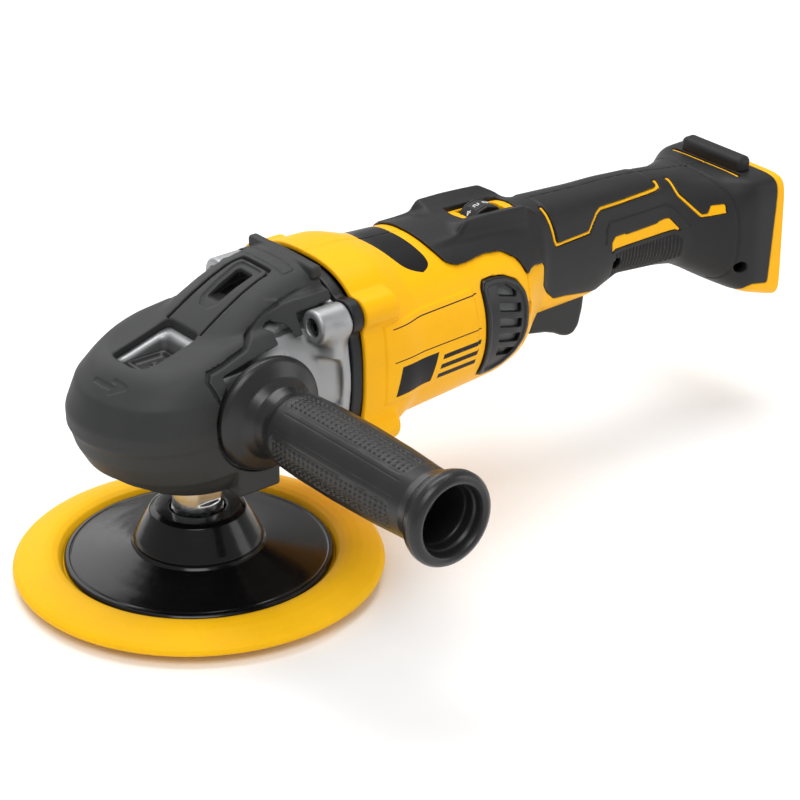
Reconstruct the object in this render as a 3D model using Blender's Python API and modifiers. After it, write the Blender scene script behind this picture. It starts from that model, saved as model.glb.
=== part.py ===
"""Cordless rotary polisher: a 178 mm pad on a right-angle head, a brushless motor in a barrel, and an inline grip
that ends in a battery foot.

Frame: the origin is the centre of the pad's working face, +Z runs up the spindle, +X runs back towards the
battery foot, and the side handle points along -Y. Every dimension is in millimetres; MM makes them metres.
"""

import math

import bmesh
import bpy
from mathutils import Euler, Matrix, Vector

MM = 0.001
GAP = 0.3

# Driving dimensions
PAD_RADIUS = 89.0
PLATE_RADIUS = 64.5
HUB_TOP = 36.0
MOTOR_Z = 100.0
LAYSHAFT_Z = 80.0
HANDLE_X, HANDLE_Z = 12.7, 96.5
HANDLE_END = 174.6
HANDLE_FLANGE_RADIUS = 27.7
BARREL_FRONT = 64.8
FOOT_REAR = 350.0
SHELL = 2.8
OVERMOULD = 2.0
SEAM = 0.15
UNDER_COVER = OVERMOULD + 0.6

# Gears: the layshaft's bevel pinion drives the spindle gear, and the motor pinion drives the layshaft wheel
BEVEL_PINION_TEETH, BEVEL_GEAR_TEETH = 8, 25
BEVEL_GEAR_RADIUS = 28.0
BEVEL_FACE = 8.0
SPUR_PINION_TEETH, SPUR_WHEEL_TEETH = 9, 27
SPUR_MODULE = 2 * (MOTOR_Z - LAYSHAFT_Z) / (SPUR_PINION_TEETH + SPUR_WHEEL_TEETH)
FLANK_SLOPE = math.tan(math.radians(20))

# Where the moving controls turn or slide
TRIGGER_PIVOT = (201.0, 0.0, 88.0)
DIAL_CENTRE = (174.0, 0.0, 133.8)
DIAL_RADIUS = 11.8
LOCK_X = -21.0
LOCK_HOLES = 4

# The head under its rubber boot: (height, centre of the round nose, half-width)
HEAD_LEVELS = [
    (58.0, -5.0, 35.5),
    (64.0, -8.5, 38.6),
    (76.0, -16.0, 40.6),
    (90.0, -20.0, 42.0),
    (100.0, -20.0, 42.0),
    (110.0, -15.5, 41.5),
    (118.0, -8.0, 39.5),
    (122.0, -6.0, 35.0),
]
BOOT_WALL = 3.6

# The body from the gear case back to the foot: (x, middle height, half-width, reach up, reach down, squareness)
BODY_STATIONS = [
    (64.8, 100.0, 47.5, 49.5, 49.5, 3.0),
    (86.0, 100.0, 47.0, 49.2, 49.2, 2.9),
    (101.0, 100.0, 45.0, 45.4, 45.4, 2.1),
    (163.0, 100.0, 41.8, 42.2, 42.0, 2.0),
    (175.0, 100.5, 38.8, 41.3, 39.3, 2.0),
    (186.0, 104.5, 30.5, 36.8, 34.0, 2.2),
    (198.5, 108.5, 22.2, 31.2, 29.8, 2.4),
    (238.0, 108.0, 20.2, 29.0, 29.0, 2.5),
    (256.0, 111.3, 19.8, 25.2, 25.2, 2.4),
    (285.0, 108.6, 20.0, 25.5, 25.5, 2.4),
    (298.0, 106.5, 22.5, 25.5, 25.5, 2.4),
    (310.0, 102.5, 28.0, 28.0, 28.0, 2.8),
    (321.0, 98.0, 34.0, 31.0, 30.5, 3.5),
    (331.0, 95.0, 37.4, 33.0, 32.5, 5.0),
    (350.0, 92.3, 38.3, 34.7, 35.3, 7.0),
]
GRIP_START, GRIP_END = 199.0, 341.0
TOP_PAD_START = 125.0

# The gear case behind the head: (x, half-width, reach up, reach down)
CASE_STATIONS = [
    (4.0, 36.0, 21.5, 30.0),
    (12.0, 37.0, 30.0, 33.0),
    (22.0, 38.0, 38.5, 36.0),
    (41.2, 39.5, 44.5, 41.5),
    (50.0, 44.0, 45.5, 43.5),
    (58.0, 44.5, 45.5, 44.5),
]
# The boot's arched back: (x, height of the ridge)
BOOT_RIDGE = [(-9.0, 123.5), (4.0, 133.0), (18.0, 142.0), (33.0, 149.0), (57.0, 152.0)]
CASE_SCREWS = [(38.5, 130.0), (-38.5, 130.0), (38.5, 70.0), (-38.5, 70.0)]
COVER_SCREW_ANGLES = (60, 180, 300)
BODY_SCREWS = [(88.0, 60.5), (250.0, 98.0), (324.0, 81.0)]
POST_RADIUS = 4.2

# The side vents: a straight front edge, and a round rear edge that reaches back from the middle
VENT_FRONT, VENT_MIDDLE, VENT_REACH = 142.5, 152.5, 19.0
VENT_HALF_HEIGHT = 24.0
WINDOW_START, WINDOW_PITCH, WINDOW_HALF_HEIGHT = 150.5, 8.0, 2.4

# The raised rails beside the speed dial: (x, height of the ridge)
RAIL_RIDGE = [(145.8, 144.0), (148.5, 147.8), (163.0, 147.4), (175.0, 146.7), (186.0, 145.9), (198.5, 140.8)]
RAIL_INNER, RAIL_PEAK, RAIL_OUTER = 8.2, 17.4, 19.4

# Finishes: (colour, roughness, metallic)
YELLOW = ((0.93, 0.47, 0.01), 0.35, 0.0)
BLACK_RUBBER = ((0.035, 0.037, 0.038), 0.75, 0.0)
BLACK_PLASTIC = ((0.02, 0.02, 0.022), 0.4, 0.0)
GREY_PLASTIC = ((0.09, 0.09, 0.095), 0.5, 0.0)
FOAM = ((0.95, 0.5, 0.02), 0.6, 0.0)
HOOK = ((0.12, 0.12, 0.12), 0.95, 0.0)
STEEL = ((0.62, 0.62, 0.63), 0.25, 1.0)
CHROME = ((0.8, 0.8, 0.82), 0.1, 1.0)
BLACK_STEEL = ((0.05, 0.05, 0.05), 0.4, 0.9)
CAST_ALUMINIUM = ((0.55, 0.56, 0.57), 0.45, 0.9)
BRASS = ((0.7, 0.5, 0.2), 0.3, 1.0)
COPPER = ((0.72, 0.32, 0.16), 0.35, 0.9)
LAMINATION = ((0.3, 0.3, 0.32), 0.45, 0.8)
BOARD = ((0.02, 0.12, 0.05), 0.5, 0.0)
MESH = ((0.35, 0.36, 0.37), 0.4, 0.8)


# Scene and object helpers


def start_collection(name, hidden):
    """A new collection in the scene."""
    made = bpy.data.collections.new(name)
    bpy.context.scene.collection.children.link(made)
    made.hide_render = hidden
    return made


def material(name, finish):
    """A Principled material of this colour, roughness and metallic value."""
    colour, roughness, metallic = finish
    made = bpy.data.materials.new(name)
    made.use_nodes = True
    shader = made.node_tree.nodes["Principled BSDF"]
    shader.inputs["Base Color"].default_value = (*colour, 1)
    shader.inputs["Roughness"].default_value = roughness
    shader.inputs["Metallic"].default_value = metallic
    made.diffuse_color = (*colour, 1)
    return made


def register(obj, finish, origin=(0, 0, 0)):
    """Put the object in the parts collection with a finish, or among the cutters where it has none."""
    obj.location = Vector(origin) * MM
    if finish is None:
        obj.hide_render = True
        obj.display_type = "WIRE"
        CUTTERS.objects.link(obj)
        return obj
    obj.data.materials.append(material(obj.name + "_finish", finish))
    obj.data.shade_smooth()
    obj.data.set_sharp_from_angle(angle=math.radians(35))
    PARTS.objects.link(obj)
    return obj


def solid(name, bm, finish, origin=(0, 0, 0)):
    """An object from a bmesh drawn in millimetres around the frame's origin, with its own origin at origin."""
    bmesh.ops.translate(bm, vec=-Vector(origin), verts=bm.verts)
    bmesh.ops.scale(bm, vec=(MM, MM, MM), verts=bm.verts)
    bmesh.ops.recalc_face_normals(bm, faces=bm.faces)
    data = bpy.data.meshes.new(name)
    bm.to_mesh(data)
    bm.free()
    return register(bpy.data.objects.new(name, data), finish, origin)


def rod(name, radius, start, end, finish=None, segments=16, origin=(0, 0, 0), end_radius=None):
    """A cylinder or cone between two points."""
    start, end = Vector(start), Vector(end)
    bm = bmesh.new()
    top = radius if end_radius is None else end_radius
    depth = (end - start).length
    bmesh.ops.create_cone(bm, cap_ends=True, segments=segments, radius1=radius, radius2=top, depth=depth)
    turn = (end - start).to_track_quat("Z", "Y").to_matrix().to_4x4()
    bmesh.ops.transform(bm, matrix=Matrix.Translation((start + end) / 2) @ turn, verts=bm.verts)
    return solid(name, bm, finish, origin)


def block(name, low, high, finish=None, rounding=0.0, origin=(0, 0, 0)):
    """A box between two corners, with its edges bevelled where rounding is given."""
    low, high = Vector(low), Vector(high)
    bm = bmesh.new()
    bmesh.ops.create_cube(bm, size=1.0)
    bmesh.ops.scale(bm, vec=high - low, verts=bm.verts)
    bmesh.ops.translate(bm, vec=(low + high) / 2, verts=bm.verts)
    if rounding:
        bmesh.ops.bevel(bm, geom=bm.edges, offset=rounding, segments=1, affect="EDGES")
    return solid(name, bm, finish, origin)


def loft(name, rings, finish=None, looped=False, origin=(0, 0, 0)):
    """A skin through closed rings of points, capped at its ends, or joined end to end where it is looped."""
    bm = bmesh.new()
    rows = [[bm.verts.new(point) for point in ring] for ring in rings]
    pairs = list(zip(rows, rows[1:] + rows[:1])) if looped else list(zip(rows, rows[1:]))
    for near, far in pairs:
        for i in range(len(near)):
            j = (i + 1) % len(near)
            bm.faces.new((near[i], near[j], far[j], far[i]))
    if not looped:
        bm.faces.new(rows[0])
        bm.faces.new(rows[-1])
    return solid(name, bm, finish, origin)


def wall(name, outer, inner, finish=None):
    """The closed solid between two open skins, each a list of rows of points."""
    bm = bmesh.new()
    skins = [[[bm.verts.new(point) for point in row] for row in rows] for rows in (outer, inner)]
    rows, columns = len(outer), len(outer[0])
    for skin in skins:
        for i in range(rows - 1):
            for j in range(columns - 1):
                bm.faces.new((skin[i][j], skin[i][j + 1], skin[i + 1][j + 1], skin[i + 1][j]))
    out, inside = skins
    for j in (0, columns - 1):
        for i in range(rows - 1):
            bm.faces.new((out[i][j], out[i + 1][j], inside[i + 1][j], inside[i][j]))
    for i in (0, rows - 1):
        for j in range(columns - 1):
            bm.faces.new((out[i][j], out[i][j + 1], inside[i][j + 1], inside[i][j]))
    return solid(name, bm, finish)


AXIS_TURNS = {"Z": (0, 0, 0), "X": (0, math.pi / 2, 0), "-Y": (math.pi / 2, 0, 0)}


def turned(name, profile, axis, finish=None, origin=(0, 0, 0), steps=32, closed=False):
    """A turned piece. The profile lists (radius, distance along the axis from origin), down the outer side."""
    data = bpy.data.meshes.new(name)
    points = [(radius * MM, 0, height * MM) for radius, height in profile]
    edges = [(i, i + 1) for i in range(len(points) - 1)]
    if closed:
        edges.append((len(points) - 1, 0))
    data.from_pydata(points, edges, [])
    obj = bpy.data.objects.new(name, data)
    obj.rotation_euler = Euler(AXIS_TURNS[axis])
    screw = obj.modifiers.new("turn", "SCREW")
    screw.axis = "Z"
    screw.steps = steps
    screw.render_steps = steps
    screw.use_smooth_shade = True
    screw.use_merge_vertices = True
    screw.merge_threshold = 0.00001
    return register(obj, finish, origin)


def ring(name, inner, outer, start, end, axis, finish, origin=(0, 0, 0), steps=14):
    """A plain turned ring, such as a ball bearing's outline."""
    profile = [(outer, end), (outer, start), (inner, start), (inner, end)]
    return turned(name, profile, axis, finish, origin, steps, closed=True)


def boolean(target, other, operation):
    """Add one Boolean step to a piece."""
    step = target.modifiers.new(operation.lower() + "_" + other.name, "BOOLEAN")
    step.operation = operation
    step.solver = "EXACT"
    step.object = other


def use_manifold_solver(target):
    """Switch a piece's Booleans over, where the exact solver drops some of its walls."""
    for step in target.modifiers:
        if step.type == "BOOLEAN":
            step.solver = "MANIFOLD"


def cut(target, *cutters):
    """Take the cutters out of a piece."""
    for cutter in cutters:
        boolean(target, cutter, "DIFFERENCE")


def join(target, *others):
    """Add other shapes to a piece."""
    for other in others:
        boolean(target, other, "UNION")


# Outlines that several pieces share


def between(rows, x):
    """The row of a table at x, read straight between its neighbours."""
    if x <= rows[0][0]:
        return rows[0][1:]
    for low, high in zip(rows, rows[1:]):
        if x <= high[0]:
            part = (x - low[0]) / (high[0] - low[0])
            return tuple(a + part * (b - a) for a, b in zip(low[1:], high[1:]))
    return rows[-1][1:]


def squared(angle, power):
    """Sine and cosine of an angle bent towards a square by a superellipse's power."""
    s, c = math.sin(angle), math.cos(angle)
    bend = 2 / power
    return math.copysign(abs(s) ** bend, s), math.copysign(abs(c) ** bend, c)


def body_point(x, angle, grow, side):
    """A point of the body's section at x. The angle runs from 0 at the top to pi at the bottom."""
    middle, width, up, down, power = between(BODY_STATIONS, x)
    s, c = squared(angle, power)
    reach = (up if c >= 0 else down) + grow
    return (x, side * max((width + grow) * abs(s), SEAM), middle + reach * c)


def body_skin(places, side, last_angle=math.pi, count=8):
    """Rows of points of one side of the body. Places lists (x, grow)."""
    angles = [last_angle * i / count for i in range(count + 1)]
    return [[body_point(x, angle, grow, side) for angle in angles] for x, grow in places]


def body_top(x, y):
    """The height of the body's top skin at a place across it."""
    middle, width, up, _, power = between(BODY_STATIONS, x)
    return middle + up * (1 - min(abs(y) / width, 1) ** power) ** (1 / power)


def body_half_width(x, z, grow):
    """The half-width of the body at a height."""
    middle, width, up, down, power = between(BODY_STATIONS, x)
    reach = (up if z > middle else down) + grow
    return (width + grow) * (1 - min(abs(z - middle) / reach, 1) ** power) ** (1 / power)


def grown_places(low, high):
    """(x, grow) of the hard shell between two places: it steps in under the grip's overmould."""
    xs = [row[0] for row in BODY_STATIONS] + [GRIP_START, GRIP_END - GAP, GRIP_END]
    places = []
    for x in sorted(set(x for x in xs if low < x < high) | {low, high}):
        covered = GRIP_START <= x < GRIP_END
        places.append((x, -UNDER_COVER if covered else 0.0))
    return places


def head_ring(z, centre, half_width, grow, rear, count=11):
    """A level outline of the head: a round nose, and straight sides back to rear."""
    radius = half_width + grow
    points = []
    for i in range(count + 1):
        angle = math.pi / 2 + math.pi * i / count
        points.append((centre + radius * math.cos(angle), radius * math.sin(angle), z))
    points.append((rear, -radius, z))
    points.append((rear, radius, z))
    return points


def head_loft(name, grow, rear, low, high):
    """The head between two heights, grown or shrunk all round."""
    heights = [low] + [row[0] for row in HEAD_LEVELS if low < row[0] < high] + [high]
    rings = []
    for z in heights:
        centre, half_width = between(HEAD_LEVELS, z)
        rings.append(head_ring(z, centre, half_width, grow, rear))
    return loft(name, rings)


def case_loft(name, grow):
    """The gear case where it widens back to its flange."""
    rings = []
    for x, width, up, down in CASE_STATIONS:
        start = x - grow if x == CASE_STATIONS[0][0] else x
        points = []
        for i in range(20):
            s, c = squared(2 * math.pi * i / 20, 2.6)
            reach = (up if c >= 0 else down) + grow
            points.append((start, (width + grow) * s, MOTOR_Z + reach * c))
        rings.append(points)
    return loft(name, rings)


# The pad and the spindle


def make_pad():
    face = [(0, 2.0), (85.5, 2.0), (86.0, 1.6), (86.0, 0.0), (0, 0.0)]
    turned("pad_face", face, "Z", HOOK, steps=28)
    foam = [
        (0, 8.2),
        (65.2, 8.2),
        (66.2, 11.0),
        (68.5, 13.4),
        (72.0, 14.0),
        (80.0, 12.6),
        (86.5, 9.6),
        (PAD_RADIUS, 6.2),
        (88.4, 3.4),
        (86.0, 2.3),
        (0, 2.3),
    ]
    turned("pad_foam", foam, "Z", FOAM, steps=28)
    plate = [
        (0, 9.8),
        (13.0, 9.8),
        (13.0, HUB_TOP),
        (22.5, HUB_TOP),
        (24.0, 34.5),
        (26.0, 26.0),
        (30.4, 18.5),
        (36.0, 14.2),
        (48.0, 12.6),
        (63.5, 11.6),
        (PLATE_RADIUS, 10.6),
        (PLATE_RADIUS, 8.5),
        (0, 8.5),
    ]
    turned("backing_plate", plate, "Z", BLACK_PLASTIC, steps=24)
    ring("pad_insert_nut", 8.2, 12.7, 10.2, 35.7, "Z", STEEL, steps=14)


def make_spindle():
    profile = [
        (0, 107.0),
        (5.4, 107.0),
        (6.0, 106.4),
        (6.0, 98.0),
        (8.4, 98.0),
        (8.4, 59.0),
        (12.0, 59.0),
        (12.0, HUB_TOP + GAP),
        (7.9, HUB_TOP + GAP),
        (7.9, 15.5),
        (6.6, 14.0),
        (0, 14.0),
    ]
    spindle = turned("spindle", profile, "Z", CHROME, steps=16)
    for side in (-1, 1):
        near, far = sorted((side * 10.3, side * 14.3))
        cut(spindle, block(f"spanner_flat_{side}", (-9, near, 41), (9, far, 50)))
    ring("lower_spindle_bearing", 8.7, 16.0, 60.2, 69.5, "Z", STEEL)
    ring("upper_spindle_bearing", 6.3, 13.0, 98.9, 106.9, "Z", STEEL)


# Gears


def tooth_corners(pitch_radius, half_thickness, rise, drop, slope):
    """(offset from the tooth's middle line, distance from the pitch line) of one tooth's four corners."""
    root = half_thickness + drop * slope
    tip = half_thickness - rise * slope
    return [(-root, -drop), (-tip, rise), (tip, rise), (root, -drop)]


def spur_ring(x, teeth, phase, centre_z):
    """The toothed outline of a spur gear of the first stage, in the plane x."""
    pitch = SPUR_MODULE * teeth / 2
    half = SPUR_MODULE * math.pi / 4 - 0.14
    points = []
    for tooth in range(teeth):
        middle = phase + 2 * math.pi * tooth / teeth
        for offset, rise in tooth_corners(pitch, half, 0.8, 1.1, FLANK_SLOPE):
            radius = pitch + rise * SPUR_MODULE
            angle = middle + offset / radius
            points.append((x, radius * math.sin(angle), centre_z + radius * math.cos(angle)))
    return points


def circle_ring(x, radius, count, centre_z, start=0.0):
    """A circle of points in the plane x."""
    points = []
    for i in range(count):
        angle = start + 2 * math.pi * i / count
        points.append((x, radius * math.sin(angle), centre_z + radius * math.cos(angle)))
    return points


def spur_gear(name, teeth, bore, low, high, centre_z, finish):
    """A spur gear of the first stage, drawn along X and bored for its shaft."""
    rings = [spur_ring(low, teeth, 0, centre_z), spur_ring(high, teeth, 0, centre_z)]
    gear = loft(name, rings, finish, origin=(0, 0, centre_z))
    cut(gear, rod(name + "_bore", bore, (low - 1, 0, centre_z), (high + 1, 0, centre_z), segments=12))


def bevel_outline(teeth, pitch_radius, apex_distance, share):
    """(along the axis from the apex, radius, angle) of each corner of a bevel gear's teeth.

    The share is 1 at the large end, and less towards the apex.
    """
    module = 2 * BEVEL_GEAR_RADIUS / BEVEL_GEAR_TEETH
    lean = math.atan2(pitch_radius, apex_distance)
    half = module * math.pi / 4 - 0.28
    corners = []
    for tooth in range(teeth):
        middle = 2 * math.pi * tooth / teeth
        for offset, rise in tooth_corners(pitch_radius, half, 0.72 * module, 1.0 * module, FLANK_SLOPE):
            radius = pitch_radius + rise * math.cos(lean)
            along = apex_distance - rise * math.sin(lean)
            corners.append((along * share, radius * share, middle + offset / radius))
    return corners


def make_bevel_gears():
    pinion_radius = BEVEL_GEAR_RADIUS * BEVEL_PINION_TEETH / BEVEL_GEAR_TEETH
    share = 1 - BEVEL_FACE / math.hypot(BEVEL_GEAR_RADIUS, pinion_radius)

    def pinion_point(along, radius, angle):
        return (along, radius * math.sin(angle), LAYSHAFT_Z + radius * math.cos(angle))

    def gear_point(along, radius, angle):
        turn = angle + math.pi / BEVEL_GEAR_TEETH
        return (radius * math.cos(turn), radius * math.sin(turn), LAYSHAFT_Z + along)

    def level(place, corners, along, radius):
        return [place(along, radius, angle) for _, _, angle in corners]

    small = bevel_outline(BEVEL_PINION_TEETH, pinion_radius, BEVEL_GEAR_RADIUS, share)
    large = bevel_outline(BEVEL_PINION_TEETH, pinion_radius, BEVEL_GEAR_RADIUS, 1)
    rings = [
        level(pinion_point, small, 20.4, 4.3),
        [pinion_point(*corner) for corner in small],
        [pinion_point(*corner) for corner in large],
        level(pinion_point, large, 30.8, 4.3),
    ]
    loft("bevel_pinion", rings, STEEL, looped=True, origin=(0, 0, LAYSHAFT_Z))

    small = bevel_outline(BEVEL_GEAR_TEETH, BEVEL_GEAR_RADIUS, pinion_radius, share)
    large = bevel_outline(BEVEL_GEAR_TEETH, BEVEL_GEAR_RADIUS, pinion_radius, 1)
    rings = [
        level(gear_point, small, 8.6, 8.7),
        [gear_point(*corner) for corner in small],
        [gear_point(*corner) for corner in large],
        level(gear_point, large, 16.6, 8.7),
    ]
    gear = loft("spindle_bevel_gear", rings, STEEL, looped=True)
    for i in range(LOCK_HOLES):
        angle = 2 * math.pi * i / LOCK_HOLES
        x, y = LOCK_X * math.cos(angle), LOCK_X * math.sin(angle)
        cut(gear, rod(f"lock_hole_{i}", 2.7, (x, y, 92.6), (x, y, 99), segments=6))


def make_gear_train():
    make_bevel_gears()
    axis = (0, 0, LAYSHAFT_Z)
    spur_gear("layshaft_wheel", SPUR_WHEEL_TEETH, 4.3, 43.5, 50.5, LAYSHAFT_Z, STEEL)
    shaft = [(0, 57.4), (3.6, 57.4), (4.0, 57.0), (4.0, 21.0), (0, 21.0)]
    turned("layshaft", shaft, "X", STEEL, axis, steps=12)
    ring("layshaft_front_bearing", 4.3, 11.0, 32.0, 40.5, "X", STEEL, axis)
    ring("layshaft_rear_bearing", 4.3, 8.5, 52.6, 57.6, "X", STEEL, axis)


# The head


def make_gear_case():
    case = head_loft("gear_case", -BOOT_WALL - GAP, 26, 62.0, 118.0)
    move_to_parts(case, CAST_ALUMINIUM)
    join(case, case_loft("case_body", 0))
    for side in (-1, 1):
        start, end = (HANDLE_X, side * 20, HANDLE_Z), (HANDLE_X, side * 39.6, HANDLE_Z)
        join(case, rod(f"handle_boss_{side}", 15.0, start, end, segments=16))
    for i, (y, z) in enumerate(CASE_SCREWS):
        join(case, rod(f"screw_boss_{i}", 7.5, (41, y, z), (58, y, z), segments=10))
    cut(case, rod("lower_chamber", 24, (0, 0, 60), (0, 0, 84.5), segments=20))
    cut(case, rod("gear_chamber", 33, (0, 0, 84), (0, 0, 98.5), segments=20))
    cut(case, rod("upper_bearing_pocket", 13.3, (0, 0, 98), (0, 0, 108), segments=16))
    cut(case, rod("pinion_bore", 11.3, (8, 0, LAYSHAFT_Z), (43, 0, LAYSHAFT_Z), segments=16))
    cut(case, rod("rear_chamber", 37.5, (41.5, 0, MOTOR_Z), (60, 0, MOTOR_Z), segments=20))
    cut(case, block("button_pocket", (LOCK_X - 12.5, -9.3, 108.5), (LOCK_X + 12.5, 9.3, 121)))
    cut(case, rod("spring_bore", 5.2, (LOCK_X, 0, 101.5), (LOCK_X, 0, 110), segments=10))
    cut(case, rod("pin_bore", 2.6, (LOCK_X, 0, 97), (LOCK_X, 0, 103), segments=12))
    for side in (-1, 1):
        start, end = (HANDLE_X, side * 32.4, HANDLE_Z), (HANDLE_X, side * 42, HANDLE_Z)
        cut(case, rod(f"handle_thread_{side}", 4.3, start, end, segments=12))
    for i, (y, z) in enumerate(CASE_SCREWS):
        cut(case, rod(f"case_screw_hole_{i}", 2.5, (43, y, z), (60, y, z), segments=6))
        cut(case, rod(f"case_screw_seat_{i}", 4.6, (39, y, z), (46.7, y, z), segments=10))
    for angle in COVER_SCREW_ANGLES:
        x, y = cover_screw_place(angle)
        cut(case, rod(f"cover_screw_hole_{angle}", 2.3, (x, y, 60), (x, y, 72), segments=6))
    use_manifold_solver(case)


def move_to_parts(obj, finish):
    """Turn a helper into a part of the object."""
    CUTTERS.objects.unlink(obj)
    obj.hide_render = False
    obj.display_type = "TEXTURED"
    register(obj, finish)


def cover_screw_place(angle):
    turn = math.radians(angle)
    return 28.0 * math.cos(turn) - 1.0, 28.0 * math.sin(turn)


def make_bearing_cover():
    """The plate that closes the gear case from below and holds the lower bearing."""
    low, high = 57.6, 61.5
    rings = [head_ring(z, -5.0, 31.5, 0.0, 22) for z in (low, high)]
    cover = loft("bearing_cover", rings, BLACK_PLASTIC)
    join(cover, rod("bearing_cup", 19.5, (0, 0, 60.5), (0, 0, 68.5), segments=16))
    cut(cover, rod("bearing_seat", 16.5, (0, 0, 59.9), (0, 0, 72), segments=20))
    cut(cover, rod("spindle_hole", 12.6, (0, 0, 55), (0, 0, 61), segments=16))
    for angle in COVER_SCREW_ANGLES:
        x, y = cover_screw_place(angle)
        cut(cover, rod(f"cover_hole_{angle}", 2.2, (x, y, 56), (x, y, 64), segments=6))
        cut(cover, rod(f"cover_seat_{angle}", 4.2, (x, y, 56), (x, y, 60.2), segments=8))
        screw = [(0, 71.5), (1.9, 71.5), (1.9, 59.9), (3.3, 59.9), (3.3, 57.8), (0, 57.8)]
        turned(f"cover_screw_{angle}", screw, "Z", BLACK_STEEL, (x, y, 0), steps=8)


def arched_back(name, half_width, floor, lift=0.0):
    """The boot's arched back as a solid, from its floor height up to the ridge."""
    rings = []
    for x, ridge in BOOT_RIDGE:
        points = []
        for i in range(11):
            s, c = squared(math.pi * (i / 10 - 0.5), 3.2)
            points.append((x, half_width * s, floor + (ridge + lift - floor) * c))
        rings.append(points)
    return loft(name, rings)


def make_boot():
    boot = head_loft("rubber_boot", 0, 24, 58.0, 122.0)
    move_to_parts(boot, BLACK_RUBBER)
    join(boot, arched_back("boot_back", 31, 112))
    join(boot, block("boot_lip", (51, -26, 148), (56.6, 26, 152.8), rounding=1.5))
    cut(boot, head_loft("boot_room", -BOOT_WALL, 30, 56.0, 118.3))
    cut(boot, case_loft("boot_case_room", 0.7))
    for side in (-1, 1):
        near, far = sorted((side * 31.5, side * 60))
        cut(boot, block(f"boot_side_gap_{side}", (3, near, 74), (64, far, 126.5)))
        start, end = (HANDLE_X, side * 39.2, HANDLE_Z), (HANDLE_X, side * 60, HANDLE_Z)
        cut(boot, rod(f"boot_flange_room_{side}", HANDLE_FLANGE_RADIUS + 1.5, start, end, segments=20))
        start = (HANDLE_X, side * 20, HANDLE_Z)
        cut(boot, rod(f"boot_boss_room_{side}", 15.8, start, end, segments=16))
    cut(boot, block("lock_window", (-38, -12.9, 108), (-4, 12.9, 130), rounding=3))
    cut(boot, block("air_window", (17, -5.5, 138), (33, 5.5, 160), rounding=2))
    use_manifold_solver(boot)


def make_lock():
    """The spindle lock: a button that pushes a pin into a hole of the spindle gear."""
    origin = (LOCK_X, 0, 115)
    low, high = (LOCK_X - 11.8, -8.6, 112.2), (LOCK_X + 11.8, 8.6, 117.6)
    block("lock_button", low, high, GREY_PLASTIC, rounding=1.2, origin=origin)
    pin = [(0, -3.1), (2.2, -3.1), (2.2, -16.6), (1.8, -17.1), (0, -17.1)]
    turned("lock_pin", pin, "Z", STEEL, origin, steps=10)
    coil("lock_spring", (LOCK_X, 0), 3.9, 0.35, 102.0, 111.5, 3, STEEL)


def coil(name, centre, radius, wire, low, high, turns, finish):
    """A compression spring standing along Z, with one flat turn's worth of wire at each end."""
    points = []
    count = turns * 7
    for i in range(count + 1):
        angle = 2 * math.pi * turns * i / count
        x = centre[0] + radius * math.cos(angle)
        y = centre[1] + radius * math.sin(angle)
        points.append((x * MM, y * MM, (low + (high - low) * i / count) * MM, 1))
    curve = bpy.data.curves.new(name, "CURVE")
    curve.dimensions = "3D"
    curve.bevel_depth = wire * MM
    curve.bevel_resolution = 0
    curve.use_fill_caps = True
    spline = curve.splines.new("POLY")
    spline.points.add(len(points) - 1)
    for point, place in zip(spline.points, points):
        point.co = place
    obj = bpy.data.objects.new(name, curve)
    curve.materials.append(material(name + "_finish", finish))
    PARTS.objects.link(obj)
    return obj


def make_bearing_plate():
    """The black plate between the gear case and the motor housing, with the bearing seats of both shafts."""
    rings = []
    for x in (58.3, BARREL_FRONT - GAP):
        points = []
        for i in range(20):
            s, c = squared(2 * math.pi * i / 20, 2.8)
            points.append((x, 45.8 * s, MOTOR_Z + 46.8 * c))
        rings.append(points)
    plate = loft("bearing_plate", rings, BLACK_PLASTIC)
    join(plate, rod("layshaft_seat_boss", 10.6, (52.0, 0, LAYSHAFT_Z), (60, 0, LAYSHAFT_Z), segments=14))
    join(plate, rod("motor_seat_boss", 14.0, (62, 0, MOTOR_Z), (67.5, 0, MOTOR_Z), segments=16))
    cut(plate, rod("layshaft_seat", 8.8, (50, 0, LAYSHAFT_Z), (58.0, 0, LAYSHAFT_Z), segments=14))
    cut(plate, rod("motor_seat", 11.3, (60.3, 0, MOTOR_Z), (70, 0, MOTOR_Z), segments=16))
    cut(plate, rod("motor_shaft_hole", 7.2, (50, 0, MOTOR_Z), (70, 0, MOTOR_Z), segments=12))
    for i, (y, z) in enumerate(CASE_SCREWS):
        cut(plate, rod(f"plate_screw_hole_{i}", 2.5, (56, y, z), (70, y, z), segments=6))
        screw = [(0, 82.5), (2.1, 82.5), (2.1, 46.4), (3.9, 46.4), (3.9, 42.0), (0, 42.0)]
        turned(f"case_screw_{i + 1}", screw, "X", BLACK_STEEL, (0, y, z), steps=8)


def make_side_handle():
    origin = (HANDLE_X, 0, HANDLE_Z)
    grip = [
        (0, 146.0),
        (13.5, 146.0),
        (15.0, 171.0),
        (17.2, HANDLE_END),
        (20.6, HANDLE_END),
        (22.2, 172.4),
        (22.2, 168.0),
        (17.0, 159.0),
        (18.2, 138.0),
        (18.8, 108.0),
        (17.6, 78.0),
        (14.6, 57.0),
        (18.0, 49.0),
        (HANDLE_FLANGE_RADIUS, 42.8),
        (HANDLE_FLANGE_RADIUS, 40.0),
        (4.4, 40.0),
        (4.4, 84.0),
        (0, 84.0),
    ]
    turned("side_handle", grip, "-Y", BLACK_PLASTIC, origin, steps=22)
    stud = [(0, 83.4), (4.0, 83.4), (4.0, 33.6), (3.3, 32.8), (0, 32.8)]
    turned("side_handle_stud", stud, "-Y", STEEL, origin, steps=10)


# The motor


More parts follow.
